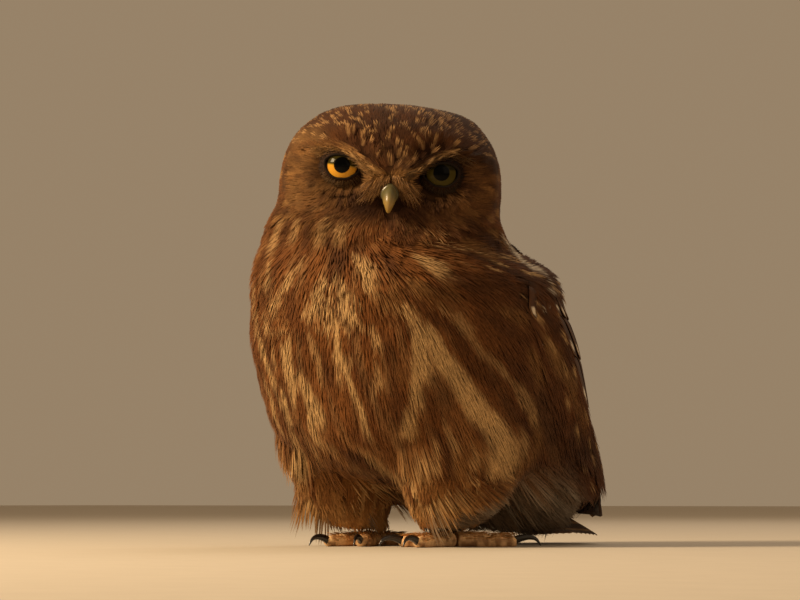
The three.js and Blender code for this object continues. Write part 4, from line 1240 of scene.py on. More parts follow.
@dataclass
class BodyCoat:
    """The small feathers of the head and body."""

    bands: tuple[tuple[str, float, float, int], ...] = (
        ("coat_crown", 0.12, 3.0, 6), ("coat_face", 3.0, 5.2, 7), ("coat_neck", 5.2, 6.8, 10),
        ("coat_breast", 6.8, 8.0, 13), ("coat_side", 8.0, 9.4, 14), ("coat_belly", 9.4, 11.0, 14),
        ("coat_vent", 11.0, 13.9, 12),
    )
    keys: tuple[float, ...] = (0, 3, 5, 6, 7, 8.5, 11, 14)
    lengths: tuple[float, ...] = (6.5, 5.5, 6.5, 10, 14, 17, 22, 22)
    widths: tuple[float, ...] = (3.4, 2.8, 3.4, 5.4, 7.5, 8.5, 9, 9)
    pitches: tuple[float, ...] = (2.5, 1.8, 2.1, 2.7, 3.3, 3.7, 4.2, 4.4)

    def build(self) -> list[Object]:
        """Grows each band of the coat."""
        return [self.band(i, *band) for i, band in enumerate(self.bands)]

    def band(self, index: int, name: str, low: float, high: float, locks: int) -> Object:
        """One band from station low to high."""
        coat = Coat(COAT, 700 + index)

        def pitch(t: Array) -> Array:
            """The spacing of the rows at each station."""
            return np.interp(t, self.keys, self.pitches)

        t, a = coat.scatter(low, high, pitch, lambda t: 1.05 * pitch(t))
        keep = self.shown(t, a)
        t, a = t[keep], a[keep]
        over = self.over_wing(t, a)
        length = np.interp(t, self.keys, self.lengths) * coat.draw.uniform(0.85, 1.12, len(t))
        width = np.interp(t, self.keys, self.widths)
        rise = coat.draw.uniform(-0.4, 0.1, len(t)) * np.interp(t, [0, 5, 7], [0.5, 0.5, 1.2]) + 1.5 * over
        rise = rise + 2.6 * bell(t - 6.3, 0.7) * ease(np.abs(a), 1.5, 2.0)
        place = COAT.point(np.minimum(t, BODY_END), a)
        between = ease(place[:, 1], -26, -12) * (1 - ease(np.abs(place[:, 0]), 8, 13))
        behind = np.maximum(ease(place[:, 1], 24, 40), between)
        under = behind * ease(t, 10.8, 12.2) * (1 - ease(np.abs(a), 0.9, 1.6))
        rise = rise + under * coat.draw.uniform(1.5, 7.0, len(t))
        length = length * (1 + 0.45 * under)
        depth = (Skin.depth(t) + 0.5) * (1 - over) + 0.4 * over
        tuft = Tuft(length, width, depth, rise, locks, badge=self.badges(t, a, coat.draw))
        tuft.thick = float(np.interp(0.5 * (low + high), [0, 5, 7], [0.11, 0.11, 0.12]))
        tuft.loose = float(np.interp(0.5 * (low + high), [0, 5, 7], [0.08, 0.09, 0.12]))
        piece = coat.grow(name, t, a, body_lie(t, a), tuft, MarkingsAndPaintedShade.coat, coat_unwrap)
        return dress(piece, FEATHER)

    @staticmethod
    def over_wing(t: Array, a: Array) -> Array:
        """1 for the roots that lie over the folded wing's front part, 0 for those on the body."""
        run = (t - WING_START) / (WING_END - WING_START)
        front, back = Wing.edges(run)
        angle = np.degrees(np.abs(a))
        across = ease(angle, front - 6, front + 2) * (1 - ease(angle, back - 8, back))
        return across * ease(run, -0.06, 0.03)

    @staticmethod
    def badges(t: Array, a: Array, draw: np.random.Generator) -> Array:
        """How strong a buff drop each feather of the crown and nape carries, 0 for most."""
        p = COAT.straight(t, a)
        brow = np.interp(np.abs(p[:, 0]), [0, 8, 16, 30], [142.5, 145, 150.5, 152])
        above = ease(p[:, 2] - 0.15 * np.maximum(p[:, 1], -20), brow, brow + 3)
        return (draw.uniform(0, 1, len(t)) < 0.3) * draw.uniform(0.5, 1.0, len(t)) * above

    @staticmethod
    def shown(t: Array, a: Array) -> Array:
        """Which roots stay: not over the eyes or the bill, nor well under a wing."""
        p = COAT.straight(t, a)
        eye = np.linalg.norm((np.abs(p[:, [0]]) * [1, 0] + p[:, [2]] * [0, 1]) - EYE[[0, 2]], axis=1)
        from_eye = np.stack([EYE[0] - np.abs(p[:, 0]), p[:, 2] - EYE[2]])
        open_eye = (eye < Opening.reach(np.arctan2(from_eye[1], from_eye[0])) + 0.5) & (p[:, 1] < -10)
        bill = (np.abs(p[:, 0]) < 2.4) & (p[:, 1] < -30) & (p[:, 2] > 126) & (p[:, 2] < 132.5)
        run = (t - WING_START) / (WING_END - WING_START)
        angle = np.degrees(np.abs(a))
        front, back = Wing.edges(run)
        cover = np.interp(run, [0.05, 0.2, 0.45, 0.8, 1], [15, 17, 21, 22, 12])
        wing = (run > 0.08) & (angle > front + cover) & (angle < back - 6)
        return ~(open_eye | bill | wing)


@dataclass
class LegCoat:
    """The feathers of one leg, down to the toes."""

    name: str
    side: float

    def build(self) -> Object:
        """Grows the leg's feathers, shorter towards the foot."""
        leg = Ovals(self.side)
        coat = Coat(leg, 801 if self.side > 0 else 802)
        row, angle = coat.scatter(2.2, 5.9, lambda r: np.interp(r, [0, 3, 6], [4.2, 3.2, 1.7]),
                                  lambda r: np.interp(r, [0, 3, 6], [4.4, 3.4, 2.2]))
        length = np.interp(row, [0, 2, 4, 6], [13, 10, 6.8, 4.2]) * coat.draw.uniform(0.85, 1.1, len(row))
        tuft = Tuft(length, np.interp(row, [0, 3, 6], [8, 6, 3.6]), 2.4,
                    coat.draw.uniform(-0.5, 0.2, len(row)), locks=7)
        down = np.tile([0.0, 0.1, -1.0], (len(row), 1))
        inward = (np.array([self.side * FOOT_OUT, FOOT_BACK, 4.0]) - leg.point(row, angle)) * [1, 1, 0] / 30
        lie = down + 1.5 * inward * ease(row, 2.2, 4.8)[:, None]

        def unwrap(row: Array, angle: Array) -> Array:
            """The root's place on the leg's unwrap."""
            return np.stack([0.5 + 0.47 * angle / math.pi, 0.97 - 0.94 * row / 6], axis=-1)

        piece = coat.grow(f"coat_leg_{self.name}", row, angle, lie, tuft,
                          lambda r, g: MarkingsAndPaintedShade.trousers(leg.point(r, g)), unwrap)
        return dress(piece, FEATHER)


# Wings and tail


@dataclass(frozen=True)
class Tier:
    """One tier of vanes: where its roots and tips lie, and how they sit."""

    name: str
    count: int
    root: tuple[tuple[float, float], tuple[float, float]]
    tip: tuple[tuple[float, float], tuple[float, float]]
    width: float
    lift: float
    bow: float = 0.0
    rows: int = 26
    spots: float = 0.0


def vane_profile(s: Array) -> Array:
    """A vane's width along its length: narrow at the root, full in the middle, rounded at the tip."""
    tip = 1 - np.clip((s - 0.6) / 0.401, 0, 1) ** 2.6
    return np.minimum(0.5 + 1.6 * s, 1) * np.sqrt(np.clip(tip, 0.0009, 1))


class Vanes:
    """Builds many thin closed vanes from places on a top and an under face."""

    @staticmethod
    def faces(count: int, rows: int, columns: int) -> Array:
        """Triangles of the top and under faces and the rim of each vane."""
        top = grid_faces(rows, columns)
        per = rows * columns
        rim = np.concatenate([
            np.arange(columns - 1), np.arange(rows - 1) * columns + columns - 1,
            per - 1 - np.arange(columns - 1), (rows - 1 - np.arange(rows - 1)) * columns,
        ])
        after = np.roll(rim, -1)
        edge = np.stack([rim, after, after + per, rim + per], axis=-1)
        quads = np.concatenate([top, top[:, ::-1] + per, edge])
        triangles = halved(quads)
        return (triangles[None] + (np.arange(count) * 2 * per)[:, None, None]).reshape(-1, 3)

    @staticmethod
    def piece(name: str, top: Array, under: Array, colour: Array, s: Array, q: Array) -> Object:
        """Joins the vanes into one mesh with its maps and markings.

        Args:
            name: the piece's name.
            top, under: (n, rows, columns, 3) places of the two faces.
            colour: (n, rows, columns, 3).
            s, q: the places along and across, the same for each vane.

        Returns:
            The object. On the map OFBake each vane has a cell of its own.
        """
        n, rows, columns, _ = top.shape
        points = np.stack([top, under], axis=1).reshape(-1, 3)
        triangles = Vanes.faces(n, rows, columns)
        first = triangles[: len(triangles) // n]
        if (outward(points, first) != first).any():
            triangles = triangles[:, ::-1]
        piece = mesh_object(name, points, triangles)
        across = np.broadcast_to(q, (n, 2, rows, columns)) * 0.5 + 0.5
        along = np.broadcast_to(s, (n, 2, rows, columns))
        add_uv(piece, "UVMap", np.stack([across, along], axis=-1))
        cells = math.ceil(math.sqrt(2 * n))
        index = np.arange(2 * n).reshape(n, 2, 1, 1)
        cell = np.stack([(index % cells + 0.06 + 0.88 * across) / cells,
                         (index // cells + 0.06 + 0.88 * along) / cells], axis=-1)
        add_uv(piece, "OFBake", cell)
        add_colour(piece, np.stack([colour, colour], axis=1))
        return piece


@dataclass
class Wing:
    """A folded wing: tiers of overlapping vanes on a thin under-wing."""

    name: str
    side: float
    thickness: float = 0.35
    columns: int = 13

    TIERS = (
        Tier("primaries", 8, ((0.55, 0.1), (0.62, 0.6)), ((0.82, 0.2), (0.86, 0.72)), 4.4, -1.7, 0.1, 44,
             0.5),
        Tier("secondaries", 9, ((0.38, 0.1), (0.44, 0.92)), ((0.66, 0.14), (0.8, 0.9)), 5.2, -1.2, 0.02,
             34, 0.6),
        Tier("greater_coverts", 9, ((0.24, 0.08), (0.28, 0.86)), ((0.46, 0.07), (0.5, 0.86)), 5.0, -0.8,
             0.01, 24, 1.0),
        Tier("median_coverts", 9, ((0.12, 0.08), (0.16, 0.84)), ((0.31, 0.07), (0.34, 0.82)), 4.6, -0.5,
             0.0, 22, 1.0),
        Tier("lesser_coverts", 9, ((0.05, 0.14), (0.07, 0.84)), ((0.18, 0.07), (0.2, 0.82)), 4.6, -0.3,
             0.0, 20, 0.8),
        Tier("scapulars", 7, ((0.0, 0.6), (0.34, 0.97)), ((0.2, 0.7), (0.56, 0.95)), 5.4, 0.0, 0.02, 24,
             1.2),
    )
    FRONT = np.array([96, 90, 93, 98, 104, 112, 122, 138.0])
    BACK = np.array([128, 158, 168, 172.5, 174.5, 175, 173, 162.0])
    INNER = np.array([-4.6, -4.8, -4.4, -4, -3.6, -3.1, -2.6, -2.2])

    @classmethod
    def edges(cls, run: Array) -> tuple[Array, Array]:
        """The wing's front and back edges, in degrees round the body."""
        share = np.linspace(0, 1, len(cls.FRONT))
        return np.interp(run, share, cls.FRONT), np.interp(run, share, cls.BACK)

    def place(self, run: Array, over: Array, lift: Array) -> Array:
        """A place on the wing: run from shoulder to tip, over from the front edge to the back."""
        front, back = self.edges(run)
        a = self.side * np.radians(front + (back - front) * over)
        t = WING_START + (WING_END - WING_START) * run
        p, n = self.sheet(t, a)
        return p + n * np.asarray(lift)[..., None]

    @staticmethod
    def sheet(t: Array, a: Array) -> tuple[Array, Array]:
        """The coat's outline without its rounded end, and its normal."""
        def at(t: Array, a: Array) -> Array:
            fy, fz, by, bz, half, square, egg, lean = np.moveaxis(COAT.row(t), -1, 0)
            c, s = np.cos(a), np.sin(a)
            r = 1 / (np.abs(c) ** square + np.abs(s) ** square) ** (1 / square)
            x = lean + half * r * s * (1 + egg * c)
            y = (fy + by) / 2 - (by - fy) / 2 * c * r
            z = (fz + bz) / 2 - (bz - fz) / 2 * c * r
            return turned(np.stack([x, y, z], axis=-1), 1 - ease(t, HEAD_TURNED_UP_TO, BODY_STARTS_AT))
        step = 0.02
        down = at(t + step, a) - at(t - step, a)
        around = at(t, a + step) - at(t, a - step)
        return at(t, a), unit(np.cross(down, around))

    def width(self, run: Array) -> Array:
        """The wing's width at run, in millimetres."""
        zero = np.zeros_like(run)
        return np.linalg.norm(self.place(run, zero, zero) - self.place(run, zero + 1, zero), axis=-1)

    def vanes(self, tier: Tier) -> Object:
        """One tier: each vane's middle line runs from root to tip, and its front edge over the next."""
        share = np.linspace(0, 1, tier.count)[:, None, None]
        draw = np.random.default_rng(len(tier.name) + (7 if self.side > 0 else 0))
        ends = [tier.root[0][k] + (tier.root[1][k] - tier.root[0][k]) * share for k in (0, 1)]
        tips = [tier.tip[0][k] + (tier.tip[1][k] - tier.tip[0][k]) * share for k in (0, 1)]
        bow = tier.bow * np.sin(math.pi * (0.12 + 0.8 * share))
        tips[0] = tips[0] + bow + draw.uniform(-0.008, 0.008, share.shape)
        s = np.linspace(0, 1, tier.rows)[None, :, None]
        q = np.linspace(-1, 1, self.columns)[None, None, :]
        run = ends[0] + (tips[0] - ends[0]) * s + 0 * q
        spread = q * tier.width * vane_profile(s) / self.width(run)
        over = np.clip(ends[1] + (tips[1] - ends[1]) * s + spread, 0.0, 1.0)
        inner = np.interp(run, np.linspace(0, 1, len(self.INNER)), self.INNER)
        sink = 2.0 * (1 - ease(s, 0, 0.4))
        camber = 0.45 * (1 - q**2) + 0.22 * bell(q, 0.1)
        lift = np.maximum(tier.lift, inner + 0.4) + camber - 0.62 * q - sink
        top = self.place(run, over, lift)
        under = self.place(run, over, lift - self.thickness * (0.25 + 0.75 * (1 - q**6)))
        colour = self.paint(tier, share, s, q)
        return Vanes.piece(f"wing_{self.name}_{tier.name}", top, under, colour, s, q)

    @staticmethod
    def paint(tier: Tier, share: Array, s: Array, q: Array) -> Array:
        """Markings of a vane: dark brown, paler towards its edge, with white ovals on its outer web."""
        i = np.round(share * (tier.count - 1))
        s, q, i = np.broadcast_arrays(s, q, i)
        tone = mottle(q * 3 + i * 17, s * 9, 1.0, 5)
        colour = blend(UMBER + 0 * s[..., None], BROWN * 0.9, 0.45 * tone + 0.2 * np.abs(q))
        if tier.name in ("primaries", "secondaries"):
            wave = (s * 6.5 + 0.5 * hashed(i, 3)) % 1.0 - 0.5
            bar = (1 - ease(np.abs(wave), 0.1, 0.24)) * ease(np.abs(q), 0.25, 0.6)
            return blend(colour, TAN * 1.1, tier.spots * bar)
        key = i + 31 * len(tier.name)
        grow = 0.7 + 0.6 * hashed(key, 7)
        far = np.hypot((q + 0.3 + 0.3 * hashed(key, 8)) / (0.32 * grow),
                       (s - 0.76 - 0.1 * hashed(key, 9)) / (0.11 * grow))
        near = np.hypot((q - 0.35 - 0.2 * hashed(key, 10)) / 0.26,
                        (s - 0.7 - 0.12 * hashed(key, 11)) / 0.09)
        colour = blend(colour, TAN * 0.8, 0.5 * ease(np.abs(q), 0.75, 1.0) * ease(s, 0.5, 0.9))
        colour = blend(colour, WHITE, 0.95 * (hashed(key, 12) < 0.8) * (1 - ease(far, 0.65, 1.05)))
        return blend(colour, CREAM, 0.7 * (hashed(key, 13) < 0.5) * (1 - ease(near, 0.6, 1.05)))

    def underwing(self) -> Object:
        """The dark sheet that the vanes grow from."""
        rows, columns = 40, 16
        s = np.linspace(0, 0.93, rows)[None, :, None]
        q = np.linspace(-1, 1, columns)[None, None, :]
        run, over = s + 0 * q, 0.5 + 0.485 * q + 0 * s
        inner = np.interp(run, np.linspace(0, 1, len(self.INNER)), self.INNER)
        top = self.place(run, over, np.minimum(-1.6, inner + 2))
        under = self.place(run, over, inner - 0.2)
        colour = np.broadcast_to(UMBER * 1.3, (1, rows, columns, 3))
        return Vanes.piece(f"wing_{self.name}_base", top, under, colour, s, q)

    def build(self) -> None:
        """Makes the sheet and every tier, and stands them for the wing's solid."""
        dress(self.underwing(), VANE, (f"wing_{self.name}",))
        for tier in self.TIERS:
            dress(self.vanes(tier), VANE)


@dataclass
class Tail:
    """The closed tail: twelve feathers, the middle pair on top."""

    count: int = 12
    rows: int = 48
    columns: int = 13

    @staticmethod
    def place(run: Array, out: Array, lift: Array) -> Array:
        """A place on the tail's sheet: run from root to tip, out sideways, lifted towards the back."""
        t = TAIL_START + (TAIL_END - TAIL_START) * run
        rows = COAT.row(np.minimum(t, LAST))
        middle = np.stack([0 * t, (rows[..., 0] + rows[..., 2]) / 2, (rows[..., 1] + rows[..., 3]) / 2],
                          axis=-1)
        up = unit(np.stack([0 * t, rows[..., 2] - rows[..., 0], rows[..., 3] - rows[..., 1]], axis=-1))
        ends = COAT.row(np.array([LAST, LAST - 0.1]))
        middles = np.stack([0 * ends[:, 0], (ends[:, 0] + ends[:, 2]) / 2, (ends[:, 1] + ends[:, 3]) / 2],
                           axis=-1)
        middle = middle + (middles[0] - middles[1]) * 10 * np.maximum(t - LAST, 0)[..., None]
        point = middle + up * (lift - out**2 / 90)[..., None]
        return point + np.stack([out, 0 * out, 0 * out], axis=-1)

    def build(self) -> None:
        """Makes the feathers and stands them for the tail's solid."""
        place = np.linspace(-1, 1, self.count)[:, None, None]
        s = np.linspace(0, 1, self.rows)[None, :, None]
        q = np.linspace(-1, 1, self.columns)[None, None, :]
        tip = 1 - 0.05 * place**2
        run = 0.1 + (tip - 0.1) * s + 0 * q
        out = place * (9 + (TAIL_HALF - 4.2 - 9) * s) + q * 4.4 * vane_profile(s)
        order = 0.4 + 1.0 * (1 - np.abs(place)) - 0.35 * q * np.sign(place)
        lift = order + 0.3 * (1 - q**2) + 0.2 * bell(q, 0.1) + 0 * s
        top = self.place(run, out, lift)
        under = self.place(run, out, lift - 0.35 * (0.25 + 0.75 * (1 - q**6)))
        i = np.round((place + 1) * (self.count - 1) / 2)
        s3, q3, i3 = np.broadcast_arrays(s, q, i)
        tone = mottle(q3 * 3 + i3 * 13, s3 * 12, 1.0, 9)
        colour = blend(UMBER * 1.3 + 0 * s3[..., None], BROWN, 0.7 * tone)
        wave = np.abs((s3 * 6.5 + 0.08 * np.abs(q3)) % 1.0 - 0.5)
        colour = blend(colour, TAN * 1.15, 0.85 * (1 - ease(wave, 0.1, 0.22)) * ease(np.abs(q3), 0.1, 0.35))
        piece = Vanes.piece("tail_feathers", top, under, colour, s, q)
        dress(piece, VANE, ("tail",))


# Head pieces


class Opening:
    """The outline of the open eye, by the turn from the bill upwards, in millimetres from the axis."""

    TURNS = np.radians([0, 20, 45, 70, 90, 110, 130, 150, 165, 180, 210, 270, 320, 345, 360])
    REACH = np.array([6.2, 4.9, 3.6, 3.2, 3.3, 3.6, 4.4, 5.5, 6.4, 6.3, 5.6, 4.7, 5.2, 6.3, 6.2])

    @classmethod
    def reach(cls, turn: Array) -> Array:
        """The opening's edge at each turn."""
        return np.interp(np.asarray(turn) % (2 * math.pi), cls.TURNS, cls.REACH)


# Painted shade on each iris, for the brow's shadow and on the left eye the head's: its brightness below and
# above a line, and the line's height in mm.
EYE_SHADE = {"left": ((0.1, 0.03), 0.6), "right": ((1.0, 0.06), -0.6)}


@dataclass
class Eye:
    """An eyeball with a raised cornea, its iris darkened with painted shade as its two shade fields say,
    and its lids.
    """

    name: str
    side: float
    painted_shade: tuple[float, float]
    painted_shade_line: float

    def place(self, angle: Array, turn: Array, r: Array) -> Array:
        """A place about the eye: angle from its axis, turn from the bill upwards, r from its centre."""
        centre, ahead, out, up = eye_axes(self.side)
        angle, turn, r = np.broadcast_arrays(angle, turn, r)
        across = np.sin(turn)[..., None] * up - np.cos(turn)[..., None] * out
        toward = np.cos(angle)[..., None] * ahead + np.sin(angle)[..., None] * across
        return centre + r[..., None] * toward

    def ball(self) -> Object:
        """A sphere about the eye's axis, its front bulged: r = R + 0.5 exp(-(angle / 36 degrees)^2)."""
        angle = np.linspace(0.01, math.pi - 0.01, 90)[:, None]
        turn = np.linspace(0, 2 * math.pi, 96, endpoint=False)[None, :]
        points, triangles = tube(self.place(angle, turn, EYE_RADIUS + 0.5 * bell(angle, math.radians(36))))
        piece = mesh_object(f"eyeball_{self.name}", points, outward(points, triangles))
        # Painted shade: the iris is darker, and cooler, above a line where the brow's shadow falls.
        height = EYE_RADIUS * np.sin(angle) * np.sin(turn + 0.12)
        low = self.painted_shade_line + 0.25 * np.cos(turn)
        painted_shade = self.painted_shade[0] + (self.painted_shade[1] - self.painted_shade[0]) * ease(height, low, low + 0.9)
        shade = (painted_shade[..., None] * blend(np.ones(3), np.array([0.8, 1.35, 2.2]), 1 - painted_shade)).reshape(-1, 3)
        add_colour(piece, np.concatenate([shade, [np.full(3, self.painted_shade[1]), np.full(3, self.painted_shade[1])]]))
        uv = np.stack([np.broadcast_to(turn / (2 * math.pi), (90, 96)),
                       np.broadcast_to(angle / math.pi, (90, 96))], axis=-1)
        add_uv(piece, "UVMap", np.concatenate([uv.reshape(-1, 2), [[0.5, 0.0], [0.5, 1.0]]]))
        return dress(piece, EYEBALL, (f"eye_{self.name}",))

    def lids(self) -> Object:
        """A cup of skin round the eye: a rounded rim at the opening, run back under the feathers."""
        turn = np.linspace(0, 2 * math.pi, 120, endpoint=False)[:, None]
        edge = np.arcsin(Opening.reach(turn) / (EYE_RADIUS + 0.45))
        upper = 0.5 + 0.5 * np.sin(turn)
        share = np.array([0.0, 0.0, 0.12, 0.35, 0.6, 1.0, 3.0, 7, 7, 5, 2, 0.4])[None, :] / EYE_RADIUS
        lift = np.array([-0.1, 0.3, 0.5, 0.55, 0.45, 0.2, 0.1, 0.0, -0.3, -0.3, -0.3, -0.25])[None, :]
        wrinkle = 0.08 * np.sin(23 * turn) * (share > 0.05)
        points = self.place(edge + share, turn, EYE_RADIUS + 0.25 + lift * (1 + 0.9 * upper) + wrinkle)
        quads = grid_faces(121, 12, True) % (120 * 12)
        triangles = halved(quads)
        flat = points.reshape(-1, 3)
        centre = eye_axes(self.side)[0]
        piece = mesh_object(f"lids_{self.name}", flat, outward(flat - centre, triangles))
        rim = 1 - ease(np.arange(len(share[0])), 3.5, 5.5)
        skin = blend(np.tile(UMBER * 0.8, (120, 12, 1)), np.array([0.012, 0.008, 0.006]),
                     np.broadcast_to(rim, (120, 12)))
        add_colour(piece, skin)
        return dress(piece, LID, (f"eyelid_upper_{self.name}", f"eyelid_lower_{self.name}"))

    def build(self) -> None:
        """Makes the ball and the lids."""
        self.ball()
        self.lids()


def curve(knots: Array, count: int) -> Array:
    """A smooth line through knots: a uniform Catmull-Rom curve sampled at equal steps."""
    knots = np.asarray(knots, float)
    place = np.linspace(0, len(knots) - 1, count)
    i = np.minimum(np.floor(place).astype(int), len(knots) - 2)
    s = (place - i)[:, None]
    a, b, c, d = (knots[np.clip(i + k, 0, len(knots) - 1)] for k in (-1, 0, 1, 2))
    return through(a, b, c, d, s)


@dataclass
class Bill:
    """The hooked bill: a waxy root, an upper and a lower half."""

    width: float = 7.0
    height: float = 7.4
    path: tuple[tuple[float, float], ...] = ((-33, 132.4), (-38.6, 131.8), (-42.6, 130.2), (-44.6, 127.2),
                                             (-43.6, 123.8))
    sizes: tuple[float, ...] = (0.85, 0.88, 0.82, 0.6, 0.12)
    lower: tuple[tuple[float, float], ...] = ((-32, 130.5), (-37, 129.3), (-40.6, 127.1), (-42, 124.8))
    lower_sizes: tuple[float, ...] = (0.72, 0.66, 0.5, 0.16)

    def rings(self, path: tuple, sizes: tuple, low: float, high: float, swell: float,
              rows: int = 36) -> Array:
        """Sections across the path from low to high, each with a ridge on top and fuller sides below."""
        s = np.linspace(low, high, rows)
        line = curve(np.array([[0, y, z] for y, z in path]), 200)
        at = np.stack([np.interp(s, np.linspace(0, 1, 200), line[:, k]) for k in range(3)], axis=-1)
        ahead = unit(np.gradient(at, axis=0))
        up = np.stack([0 * s, ahead[:, 2], -ahead[:, 1]], axis=-1)
        size = np.interp(s, np.linspace(0, 1, len(sizes)), sizes)
        ring = np.linspace(0, 2 * math.pi, 28, endpoint=False)[None, :]
        keel = 1 - 0.22 * np.clip(np.cos(ring), 0, 1) + 0.05 * np.clip(-np.cos(ring), 0, 1)
        w = (size * self.width / 2 + swell)[:, None] * np.sin(ring) * keel
        h = (size * self.height / 2 + swell)[:, None] * np.cos(ring)
        side = np.array([1.0, 0, 0])
        return turned(at[:, None, :] + w[..., None] * side + h[..., None] * up[:, None, :])

    def piece(self, name: str, rings: Array, colours: Array, replaced: str) -> Object:
        """A closed horn from rings, with one colour for each ring."""
        points, triangles = tube(rings)
        piece = mesh_object(name, points, outward(points, triangles))
        shade = np.repeat(colours, rings.shape[1], axis=0)
        add_colour(piece, np.concatenate([shade, colours[:1], colours[-1:]]))
        return dress(piece, HORN, (replaced,))

    def build(self) -> None:
        """Makes the three pieces, yellow-green with a darker root and a pale tip."""
        s = np.linspace(0, 1, 36)
        horn = blend(np.tile([0.10, 0.088, 0.035], (36, 1)), np.array([0.30, 0.19, 0.045]),
                     ease(s, 0.3, 0.8))
        waxy = np.tile([0.09, 0.075, 0.03], (36, 1))
        self.piece("bill_horn_upper", self.rings(self.path, self.sizes, 0.3, 1, 0.0), horn, "bill_upper")
        self.piece("bill_root", self.rings(self.path, self.sizes, 0.0, 0.36, 0.35), waxy, "cere")
        self.piece("bill_horn_lower", self.rings(self.lower, self.lower_sizes, 0, 1, 0.0), horn * 0.8,
                   "bill_lower")


class Hairs:
    """Fine three-sided bristles and filaments, each a curved taper."""

    def __init__(self, seed: int) -> None:
        """Starts a seeded draw."""
        self.draw = np.random.default_rng(seed)

    def vary(self, count: int) -> Callable[[float, float], Array]:
        """A function that draws one value from low to high for each of count hairs."""
        return lambda low, high: self.draw.uniform(low, high, count)

    def build(self, name: str, roots: Array, ahead: Array, bend: Array, length: Array, radius: Array,
              colour: Array, rows: int = 5) -> Object:
        """Makes the hairs as one mesh.

        Args:
            name: the piece's name.
            roots, ahead: (n, 3) starts and unit directions.
            bend: (n, 3) how far each tip is carried aside.
            length, radius: (n,) in millimetres.
            colour: (n, 3).
            rows: rings in each hair.

        Returns:
            The object. A hair's line is root + ahead s L + bend s^2.
        """
        n = len(roots)
        s = np.linspace(0, 1, rows)[None, :, None]
        line = roots[:, None] + ahead[:, None] * s * length[:, None, None] + bend[:, None] * s**2
        tangent = unit(ahead[:, None] * length[:, None, None] + 2 * bend[:, None] * s)
        side = unit(np.cross(tangent, np.array([0.31, 0.17, 0.93])))
        up = np.cross(tangent, side)
        ring = np.radians([0, 120, 240])
        taper = radius[:, None, None] * (1 - 0.88 * s)
        x, y = np.cos(ring)[:, None], np.sin(ring)[:, None]
        rings = line[:, :, None] + taper[..., None] * (x * side[:, :, None] + y * up[:, :, None])
        wall = grid_faces(rows, 3, True)
        last = 3 * rows - 1
        one = np.concatenate([halved(wall), [[0, 1, 2]], [[last, last - 1, last - 2]]])
        points = rings.reshape(-1, 3)
        if (outward(points[: 3 * rows], one) != one).any():
            one = one[:, ::-1]
        triangles = (one[None] + (np.arange(n) * 3 * rows)[:, None, None]).reshape(-1, 3)
        piece = mesh_object(name, points, triangles)
        add_colour(piece, np.repeat(colour, rows * 3, axis=0))
        p = (np.clip((roots - roots.min(0)) / np.ptp(roots, axis=0).max(), 0, 1) * 0.94 + 0.03)[:, [0, 2]]
        tip = np.stack([np.broadcast_to([0, 0.5, 1.0], (n, rows, 3)), np.broadcast_to(s, (n, rows, 3))],
                       axis=-1)
        add_uv(piece, "OFBake", p[:, None, None, :] + 0.003 * (tip - 0.5))
        return piece


